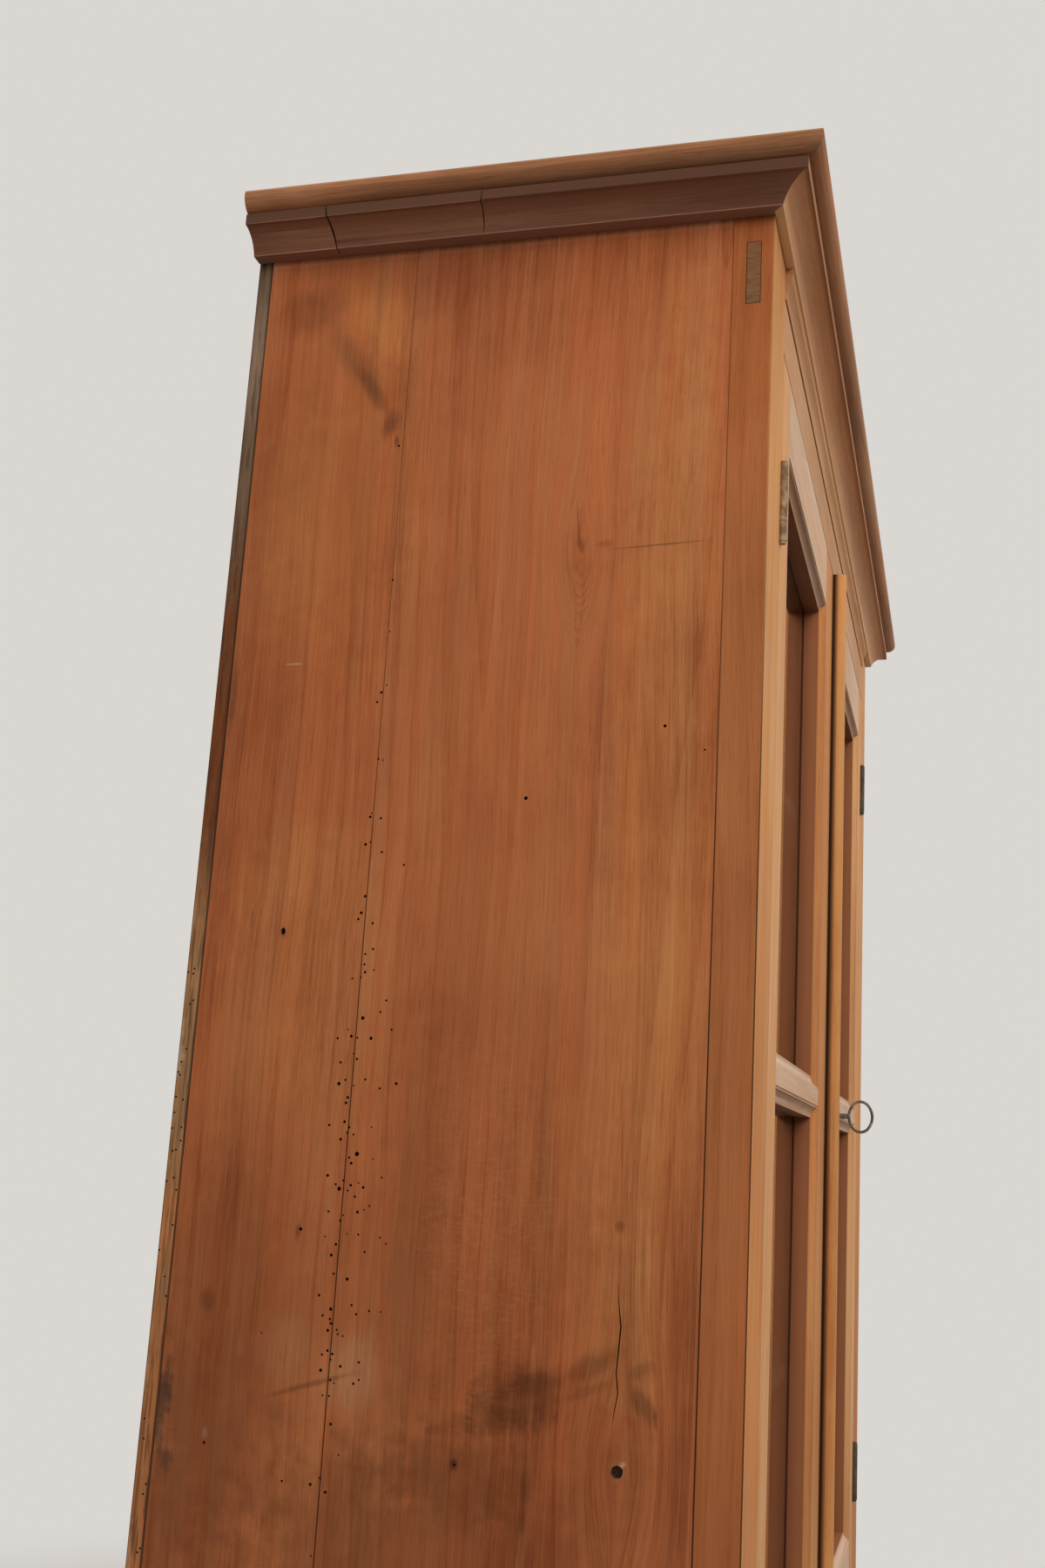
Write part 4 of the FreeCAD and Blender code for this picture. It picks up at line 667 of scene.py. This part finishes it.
# Arched figure in the wide plank under the crotch, and fine cross ripples lower down.
figure_place = along(plank_wood.tree, "SUBTRACT", plank_wood.place, CROTCH)
figure_place = along(plank_wood.tree, "DIVIDE", figure_place, (1.0, 0.010, 0.030))
figure_split = plank_wood.tree.nodes.new("ShaderNodeSeparateXYZ")
plank_wood.tree.links.new(figure_place, figure_split.inputs[0])
bowl = plank_wood.both(figure_split.outputs["Y"], figure_split.outputs["Y"])
figure = calc(plank_wood.tree, "SUBTRACT", figure_split.outputs["Z"], bowl)
figure = calc(plank_wood.tree, "MULTIPLY_ADD", cloud(plank_wood.tree, plank_wood.place, 90.0), 0.8, figure)
figure = calc(plank_wood.tree, "FRACT", plank_wood.both(figure, 3.2))
figure = calc(plank_wood.tree, "POWER", figure, 2.5)
figure = plank_wood.both(figure, plank_blot(-0.059, 1.160, 0.017, 0.060, 0.5))
plank_wood.toned(figure, (0.66, 0.58, 0.55), 0.75)
ripple = span(plank_wood.tree, plank_wood.streaks((1.0, 130.0, 420.0), 1.0, 2.0), 0.50, 0.66)
ripple = plank_wood.both(ripple, plank_blot(-0.01, 0.70, 0.075, 0.20, 0.8))
plank_wood.stain(ripple, (0.44, 0.17, 0.070), 0.32)
plank_wood.tinted_edges((0.045, 0.020, 0.010), 0.9, plank_wood.less_above(0.55, 1.45, 0.3))
plank_finish = plank_wood.done()
planks = {}
for side, other_tree in (("left", 0.0), ("right", 0.4)):
    for part, board in (("front", 0.37), ("rear", 0.372)):
        planks[side, part] = eased(
            f"{side}_side_plank_{part}", PLANK_EASE, "case", plank_finish, board + other_tree)

worm = cutter("worm")
for index, (y, z, across) in enumerate(FLIGHT_HOLES):
    flight_hole(y, z, across * HOLE_SHARE, 9, (index * 37) % 31 - 15)
for stretch in (1.0, 1.25):
    bpy.ops.mesh.primitive_cylinder_add(
        vertices=12, radius=OVAL_RADIUS, depth=2 * HOLE_DEPTH, rotation=(0.0, math.radians(90), 0.0),
        location=(PLANK_FACE, OVAL_HOLE[0], OVAL_HOLE[1] + 0.002 * (stretch - 1.1)),
        scale=(stretch * 1.2, 1.0, 1.0))
bpy.ops.mesh.primitive_cylinder_add(
    vertices=13, radius=KNOT_RADIUS, depth=KNOT_DEPTH, location=KNOT, rotation=(0.2, math.radians(78), 0.1))
bpy.ops.transform.vertex_random(offset=KNOT_ROUGH, seed=4)
split_between(CRACK_POINTS, CRACK_WIDTHS, CRACK_START, CRACK_DEPTH)
carved((planks["left", "front"], planks["left", "rear"]), worm)


# Back planks: four lapped boards of rough pine, left unfinished and greyed, nailed to the shelves.
# The outer boards' sawn edges show along the sides. The left one is chipped and worm-eaten low down,
# with flight holes given in millimetres from the middle and from the floor.
BACK_EASE = 0.0012
BACK_REAR = 0.2495
EDGE_HOLES = (
    (248, 861), (242.8, 864), (243.4, 860), (241, 839), (243.7, 836), (242.7, 801), (245.9, 791), (247.5, 783),
    (246, 781), (247.4, 764), (241.2, 762), (247.3, 752), (240.1, 741), (248, 740), (239.5, 731), (242.8, 724),
    (245.6, 723), (242.2, 703), (247.8, 700), (239, 694), (239, 668), (248, 649), (241.3, 630), (238.5, 616),
    (245.9, 528), (244.8, 514), (239.2, 483), (240.8, 476), (238.6, 439), (240.6, 436),
)
EDGE_HOLE_RADIUS = 0.00085
CHIP_LOW = 0.13
CHIP_HIGH = 1.12
CHIP_STEPS = 90
CHIP_SHALLOW = 0.0004
CHIP_ROUGH = 0.0024
CHIP_BITE = 0.0085
CHIP_LEAST = 0.00005
CHIP_SLANT = 9.0
CHIP_OUTSIDE = PLANK_FACE - 0.005
CHIP_BEHIND = BACK_REAR + 0.004
PALE_CHIPS = ((0.2495, 0.80, 0.035), (0.2500, 0.56, 0.050), (0.2490, 0.43, 0.035))
EDGE_TONES = (
    (0.670, 0.065, (1.38, 1.05, 0.86)), (0.875, 0.085, (1.40, 1.40, 1.38)),
    (1.085, 0.220, (0.76, 0.42, 0.29)), (1.390, 0.075, (1.50, 1.55, 1.70)))
back_wood = Wood("back_wood", "Z", (0.20, 0.100, 0.045), (0.30, 0.155, 0.070), (0.40, 0.22, 0.105), 1.3)
weather = back_wood.streaks((1.0, 1.0, 0.035), 170.0, 4.0, 0.65)
back_wood.stain(back_wood.beyond("Z", 0.80, 1.25), (0.150, 0.098, 0.064), 0.85)
back_wood.stain(span(back_wood.tree, weather, 0.50, 0.66), (0.085, 0.055, 0.037), 0.50)
back_wood.stain(span(back_wood.tree, weather, 0.42, 0.34), (0.34, 0.25, 0.17), 0.35)
for y, z, reach_z in PALE_CHIPS:
    pale_chip = back_wood.blot((PLANK_FACE, y, z), (0.06, 0.006, reach_z), 1.6)
    back_wood.stain(pale_chip, (0.50, 0.37, 0.22), 0.6)
back_wood.tinted_edges((0.10, 0.062, 0.040), 0.5)
sawn_edge = span(back_wood.tree, calc(back_wood.tree, "ABSOLUTE", back_wood.apart("X")), 0.6010, 0.6022)
not_sawn = calc(back_wood.tree, "SUBTRACT", 1.0, sawn_edge)
# Painted light: the back planks' inner face is paler, to lift the shade inside the case.
lit_inner_face = back_wood.both(back_wood.beyond("Y", 0.2374, 0.2367), not_sawn)
back_wood.stain(lit_inner_face, (0.42, 0.25, 0.13), 0.55)
ochre_low = back_wood.both(back_wood.beyond("Z", 0.635, 0.600), sawn_edge)
back_wood.toned(ochre_low, (1.14, 0.83, 0.68))
for z, reach_z, change in EDGE_TONES:
    patch = back_wood.blot((0.0, 0.243, z), (9.0, 0.09, reach_z), 0.5)
    back_wood.toned(back_wood.both(patch, sawn_edge), change)
bark = span(back_wood.tree, back_wood.streaks((1.0, 1.0, 0.07), 300.0, 3.0), 0.52, 0.62)
back_wood.stain(back_wood.both(bark, sawn_edge), (0.050, 0.028, 0.018), 0.50)
back_joint = back_wood.both(back_wood.beyond("Y", 0.2382, 0.2374), sawn_edge)
back_wood.stain(back_joint, (0.040, 0.020, 0.012), 0.75)
back_finish = back_wood.done(0.6)
back = {}
for index in range(1, 5):
    back[index] = eased(f"back_plank_{index}", BACK_EASE, "case", back_finish, 0.17 * index)

eaten = cutter("eaten")
for index, (y, z) in enumerate(EDGE_HOLES):
    flight_hole(y, z, EDGE_HOLE_RADIUS, 8, (index * 23) % 25 - 12)
carved((back[1],), eaten)
chipped = cutter("chipped")
bpy.ops.mesh.primitive_grid_add(x_subdivisions=3, y_subdivisions=CHIP_STEPS, size=1.0)
shape = bmesh.from_edit_mesh(chipped.data)
for vertex in shape.verts:
    up = vertex.co.y + 0.5
    z = CHIP_LOW + up * (CHIP_HIGH - CHIP_LOW)
    rough = fractal(Vector((z * 14.0, 3.1, 0.7)), 0.9, 2.1, 4) * CHIP_ROUGH
    bite = max(fractal(Vector((z * 5.5, 9.4, 2.2)), 1.0, 2.0, 2) - 0.12, 0.0) * CHIP_BITE
    fading = math.sin(math.pi * up) ** 0.35 * (1.2 - 0.9 * up)
    depth = max((CHIP_SHALLOW + rough + bite) * fading, CHIP_LEAST)
    corners = (
        (CHIP_OUTSIDE, CHIP_BEHIND, z), (CHIP_OUTSIDE, BACK_REAR - depth, z),
        (PLANK_FACE + CHIP_SLANT * depth, CHIP_BEHIND, z))
    vertex.co = corners[round((vertex.co.x + 0.5) * 3) % 3]
bmesh.update_edit_mesh(chipped.data)
bpy.ops.mesh.select_all(action="SELECT")
bpy.ops.mesh.remove_doubles(threshold=0.000001)
bpy.ops.mesh.fill_holes(sides=3)
bpy.ops.mesh.select_all(action="SELECT")
bpy.ops.mesh.normals_make_consistent(inside=False)
bpy.ops.object.mode_set(mode="OBJECT")
chipped.data.materials[0] = back_finish
carved((back[1],), chipped)


# Boards inside: the top and bottom boards, three shelves, the cleats that carry them and the door stops.
# They are of plain pine, planed but never waxed, with their grain along the cupboard.
BOARD_EASE = 0.0008
SHORT_CLEAT = 0.015
board_wood = Wood("board_wood", "X", (0.10, 0.046, 0.021), (0.165, 0.082, 0.040), (0.23, 0.125, 0.066))
board_wood.tinted_edges((0.34, 0.21, 0.12), 0.5)
board_finish = board_wood.done(0.5)
for node, board in (
        ("top_board", 0.09), ("bottom_board", 0.21), ("lower_shelf", 0.33), ("middle_shelf", 0.45),
        ("upper_shelf", 0.57), ("door_stops", 0.69)):
    eased(node, BOARD_EASE, "case", board_finish, board)
cleat_wood = Wood("cleat_wood", "Y", (0.14, 0.070, 0.034), (0.22, 0.12, 0.060), (0.30, 0.175, 0.095))
cleat_wood.tinted_edges((0.32, 0.20, 0.11), 0.5)
cleat_finish = cleat_wood.done(0.5)
for node, board in (("left_cleats", 0.31), ("right_cleats", 0.77)):
    eased(node, BOARD_EASE, "case", cleat_finish, board, SHORT_CLEAT)


# Cornice: a moulded crown over a hollow cove, each in a front and two side lengths mitred at the corners,
# with a small bed moulding under it between the posts. Dust and old wax have darkened it, and the left cove
# has split in two places. The side coves are darker with painted shade, the front cove paler with painted
# light.
CORNICE_EASE = 0.0007
# The front cove's tones are raised with painted light, as it faces down; the side coves' are a darker copy
# with painted shade.
CORNICE_TONES = {
    ("crown", "X"): ((0.25, 0.115, 0.055), (0.37, 0.178, 0.088), (0.46, 0.24, 0.125)),
    ("crown", "Y"): ((0.22, 0.097, 0.046), (0.335, 0.153, 0.075), (0.43, 0.212, 0.11)),
    ("cove", "X"): ((0.53, 0.275, 0.146), (0.68, 0.368, 0.205), (0.76, 0.44, 0.255)),
    ("cove", "Y"): ((0.165, 0.075, 0.044), (0.255, 0.118, 0.072), (0.35, 0.172, 0.108)),
    ("bed", "X"): ((0.34, 0.160, 0.072), (0.46, 0.230, 0.108), (0.54, 0.295, 0.148)),
}
CORNICE_EDGE_WEAR_AND_HIGHLIGHT = {"X": 0.2, "Y": 0.35}
# Bands of colour along the cornice; on the coves they are painted light and shade.
CORNICE_BANDS = {
    ("crown", "Y"): (
        ("Y", -0.02, 0.20, (1.38, 1.36, 1.40), 1.0, "MULTIPLY"),),
    ("cove", "X"): (
        # Painted light on the front cove's soffit, which faces down, and painted shade on its fillet under the
        # crown.
        ("Z", 1.4838, 1.4832, (0.88, 0.60, 0.36), 0.95), ("Z", 1.5000, 1.5012, (0.27, 0.130, 0.064), 0.75)),
    ("cove", "Y"): (
        # Painted light on the side coves' upper hollow, which the crown shades.
        ("Z", 1.4930, 1.5000, (0.455, 0.230, 0.140), 0.42),
        # Painted shade on the side coves' fillet under the crown.
        ("Z", 1.5000, 1.5020, (0.062, 0.027, 0.017), 0.82),
        # Painted shade, darker towards the bottom of the side coves, which face down.
        ("Z", 1.4940, 1.4850, (0.110, 0.040, 0.026), 0.52),
        # Painted light on the side coves' soffit, which faces down.
        ("Z", 1.4842, 1.4836, (0.360, 0.195, 0.140), 0.90)),
}
COVE_SPLITS = (
    (((0.1762, 1.5120), (0.1756, 1.5060), (0.1742, 1.4960), (0.1731, 1.4890), (0.1720, 1.4815)),
     (0.0008, 0.0011, 0.0016, 0.0013, 0.0008)),
    (((0.0374, 1.5120), (0.0378, 1.5040), (0.0394, 1.4960), (0.0398, 1.4900), (0.0409, 1.4840)),
     (0.0004, 0.0008, 0.0011, 0.0008, 0.0003)))
SPLIT_START = -0.660
SPLIT_DEPTH = 0.052
CORNICE_CONTRAST = 1.2
cornice_finishes = {}
for kind, tones in CORNICE_TONES.items():
    moulding, grain = kind
    cornice_wood = Wood(f"{moulding}_wood_{grain.lower()}", grain, *tones, CORNICE_CONTRAST)
    # Pale edges: wear, and a painted highlight along them.
    cornice_wood.tinted_edges((0.42, 0.23, 0.13), CORNICE_EDGE_WEAR_AND_HIGHLIGHT[grain])
    for axis, start, full, *look in CORNICE_BANDS.get(kind, ()):
        cornice_wood.stain(cornice_wood.beyond(axis, start, full), *look)
    cornice_finishes[kind] = cornice_wood.done()
cornice = {}
for node, kind, board in (
        ("crown_front", ("crown", "X"), 0.12), ("crown_left", ("crown", "Y"), 0.34),
        ("crown_right", ("crown", "Y"), 0.56), ("cove_front", ("cove", "X"), 0.23),
        ("cove_left", ("cove", "Y"), 0.45), ("cove_right", ("cove", "Y"), 0.67),
        ("frieze_moulding", ("bed", "X"), 0.78)):
    cornice[node] = eased(node, CORNICE_EASE, "case", cornice_finishes[kind], board)
split = cutter("split")
for points, widths in COVE_SPLITS:
    split_between(points, widths, SPLIT_START, SPLIT_DEPTH)
carved((cornice["cove_left"],), split)


# Door frames: stiles and rails of paler fruitwood with a quirked ovolo run on their inner edges,
# mortised and tenoned together, and mitred where the mouldings meet. Beads behind hold the panes.
DOOR_EASE = 0.00035
DOOR_TONES = {
    "hinge_stile": ("Z", (0.49, 0.228, 0.092), (0.61, 0.320, 0.145), (0.69, 0.40, 0.20)),
    "lock_stile": ("Z", (0.40, 0.155, 0.052), (0.51, 0.218, 0.081), (0.59, 0.28, 0.115)),
    # The rails' tones are paler and greyer than the stiles': painted sheen where the light grazes the
    # crosswise grain.
    "rail": ("X", (0.49, 0.300, 0.184), (0.60, 0.405, 0.280), (0.67, 0.475, 0.355)),
}
# Painted shade in the recessed edges around the panes, deeper towards the glass; the dark line at the glass is
# partly dirt and partly painted shade.
REVEAL_PAINTED_SHADE = (
    (-0.1945, -0.1932, (0.285, 0.104, 0.046), 0.96), (-0.1900, -0.1785, (0.120, 0.040, 0.019), 0.45),
    (-0.1792, -0.1782, (0.030, 0.014, 0.009), 0.75))
SIGHT_MARGIN = 0.003
SIGHT_BLUR = 0.001
sight_hinge = -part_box("left_hinge_stile")[1][0] + SIGHT_MARGIN
sight_lock = -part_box("left_lock_stile")[0][0] - SIGHT_MARGIN
sight_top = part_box("left_top_rail")[0][2] + SIGHT_MARGIN
sight_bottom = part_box("left_bottom_rail")[1][2] - SIGHT_MARGIN


def reveal(wood):
    # 1 on the edges around a pane, in front of the glass, and 0 on the frame's back and outer edges.
    across = calc(wood.tree, "ABSOLUTE", wood.apart("X"))
    up = wood.apart("Z")
    share = wood.beyond("Y", -0.1770, -0.1776)
    for value, start, full in (
            (across, sight_lock - SIGHT_BLUR, sight_lock), (across, sight_hinge + SIGHT_BLUR, sight_hinge),
            (up, sight_bottom - SIGHT_BLUR, sight_bottom), (up, sight_top + SIGHT_BLUR, sight_top)):
        share = wood.both(share, span(wood.tree, value, start, full))
    return share


door_finishes = {}
for part, (grain, *tones) in DOOR_TONES.items():
    door_wood = Wood("door_" + part, grain, *tones)
    door_wood.tinted_edges((0.34, 0.16, 0.075), 0.35)
    if part == "rail":
        # Painted shade on the top rails' lower moulding, which faces down.
        shaded_top_moulding = door_wood.both(
            door_wood.beyond("Z", 1.300, 1.310), door_wood.beyond("Y", -0.2003, -0.1985))
        door_wood.stain(shaded_top_moulding, (0.30, 0.165, 0.095), 0.60)
    # Painted shade on the recessed edges around each pane.
    edge = reveal(door_wood)
    for start, full, colour, strength in REVEAL_PAINTED_SHADE:
        door_wood.stain(door_wood.both(edge, door_wood.beyond("Y", start, full)), colour, strength)
    door_finishes[part] = door_wood.done()
bead_wood = Wood("bead_wood", "Z", (0.14, 0.052, 0.022), (0.21, 0.086, 0.038), (0.28, 0.125, 0.058))
bead_finish = bead_wood.done()
for side, other_tree in (("left", 0.0), ("right", 0.47)):
    for part, finish, board in (
            ("hinge_stile", "hinge_stile", 0.13), ("lock_stile", "lock_stile", 0.29),
            ("top_rail", "rail", 0.38), ("mid_rail", "rail", 0.59), ("bottom_rail", "rail", 0.71)):
        eased(
            f"{side}_{part}", DOOR_EASE, side + "_door", door_finishes[finish], board + other_tree)
    dressed(frame["nodes"][side + "_glazing_beads"], bead_finish, 0.41)


# Meeting strip: a half-round strip of fruitwood on the right door's meeting edge, planed in one length.
# It is glued on, and laps over the gap between the doors. Its flank is darkened with painted shade, most along
# its foot.
strip_wood = Wood("strip_wood", "Z", (0.42, 0.175, 0.063), (0.58, 0.280, 0.102), (0.65, 0.34, 0.14))
# Painted shade on the flank that faces the left door, darkest along its foot.
strip_wood.stain(strip_wood.beyond("Y", -0.2082, -0.2046), (0.110, 0.045, 0.020), 0.80)
strip_wood.stain(strip_wood.beyond("Y", -0.2052, -0.2026), (0.020, 0.010, 0.006), 0.92)
dressed(frame["nodes"]["astragal"], strip_wood.done(), 0.19)


# Panes: old drawn sheet glass, two in each door, faintly warm in colour and not quite flat.
# They stand in the rebates of the frames, held by the beads, with a thin film of dust on them.
PANE_COLOUR = (0.92, 0.915, 0.88, 1.0)
PANE_DUSTIEST = 0.03
PANE_WAVE = 0.0005
pane_glass = bpy.data.materials.new("pane_glass")
pane_glass.use_nodes = True
pane_tree = pane_glass.node_tree
pane_shader = pane_tree.nodes["Principled BSDF"]
pane_shader.inputs["Base Color"].default_value = PANE_COLOUR
pane_shader.inputs["Transmission Weight"].default_value = 1.0
pane_shader.inputs["IOR"].default_value = 1.45
pane_place = place_on(pane_tree)
pane_film = span(pane_tree, cloud(pane_tree, pane_place, 14.0, 4.0, 0.6), 0.35, 0.75, 0.0, PANE_DUSTIEST)
pane_tree.links.new(pane_film, pane_shader.inputs["Roughness"])
pane_wave = pane_tree.nodes.new("ShaderNodeBump")
pane_wave.inputs["Strength"].default_value = 0.04
pane_wave.inputs["Distance"].default_value = PANE_WAVE
pane_tree.links.new(cloud(pane_tree, pane_place, 7.0, 1.0, 0.4), pane_wave.inputs["Height"])
pane_tree.links.new(pane_wave.outputs[0], pane_shader.inputs["Normal"])
for side in ("left", "right"):
    for level in ("upper", "lower"):
        dressed(frame["nodes"][f"{side}_{level}_glass"], pane_glass)


# Hinges: cast butt hinges of old brass, two on each door, with three knuckles on a headed pin.
# The brass is dull and brown, darkest on the right door. The keyhole plate is of the same brass.
METAL_RELIEF = 0.0003


def aged_metal(name, dark, worn, patina, roughness, browned=None):
    metal = bpy.data.materials.new(name)
    metal.use_nodes = True
    tree = metal.node_tree
    shader = tree.nodes["Principled BSDF"]
    place = place_on(tree)
    grime = cloud(tree, place, 120.0, 5.0, 0.65)
    bloom = cloud(tree, place, 45.0, 4.0, 0.6)
    scratch = cloud(tree, along(tree, "MULTIPLY", place, (1.0, 1.0, 0.1)), 900.0, 2.0, 0.6)
    colour = mixed(tree, span(tree, grime, 0.38, 0.66), tint(dark), tint(worn))
    colour = mixed(tree, span(tree, bloom, 0.48, 0.70, 0.0, 0.7), colour, tint(patina))
    colour = mixed(tree, span(tree, scratch, 0.62, 0.75, 0.0, 0.4), colour, tint(worn))
    if browned:
        split = tree.nodes.new("ShaderNodeSeparateXYZ")
        tree.links.new(place, split.inputs[0])
        colour = mixed(tree, span(tree, split.outputs["X"], 0.1, 0.4, 0.0, 0.8), colour, tint(browned))
    tree.links.new(colour, shader.inputs["Base Color"])
    tree.links.new(span(tree, bloom, 0.45, 0.7, 0.65, 0.25), shader.inputs["Metallic"])
    rough = span(tree, grime, 0.3, 0.7, roughness + 0.12, roughness - 0.08)
    tree.links.new(rough, shader.inputs["Roughness"])
    relief = tree.nodes.new("ShaderNodeBump")
    relief.inputs["Strength"].default_value = 0.3
    relief.inputs["Distance"].default_value = METAL_RELIEF
    tree.links.new(grime, relief.inputs["Height"])
    tree.links.new(relief.outputs[0], shader.inputs["Normal"])
    return metal


old_brass = aged_metal(
    "old_brass", (0.22, 0.145, 0.085), (0.47, 0.33, 0.195), (0.31, 0.21, 0.15), 0.55, (0.050, 0.046, 0.032))
for node in (
        "hinge_frame_leaves", "hinge_pins", "left_hinge_door_leaves", "right_hinge_door_leaves", "escutcheon"):
    dressed(frame["nodes"][node], old_brass)


# Lock, key, bolts and fasteners: hand-forged iron, browned and dark. Hands have rubbed the key brighter.
# The lock, the keeper and the bolts' guides are screwed to the doors' backs, and the back planks are nailed.
rubbed_iron = aged_metal("rubbed_iron", (0.12, 0.098, 0.078), (0.34, 0.30, 0.25), (0.20, 0.155, 0.115), 0.45)
dressed(frame["nodes"]["key"], rubbed_iron)
old_iron = aged_metal("old_iron", (0.035, 0.030, 0.026), (0.15, 0.135, 0.115), (0.085, 0.055, 0.035), 0.5)
for node in (
        "lock_case", "lock_bolt", "strike_keeper", "bolt_guides", "top_bolt", "bottom_bolt", "back_nails",
        "case_hinge_screws", "left_door_screws", "right_door_screws"):
    dressed(frame["nodes"][node], old_iron)
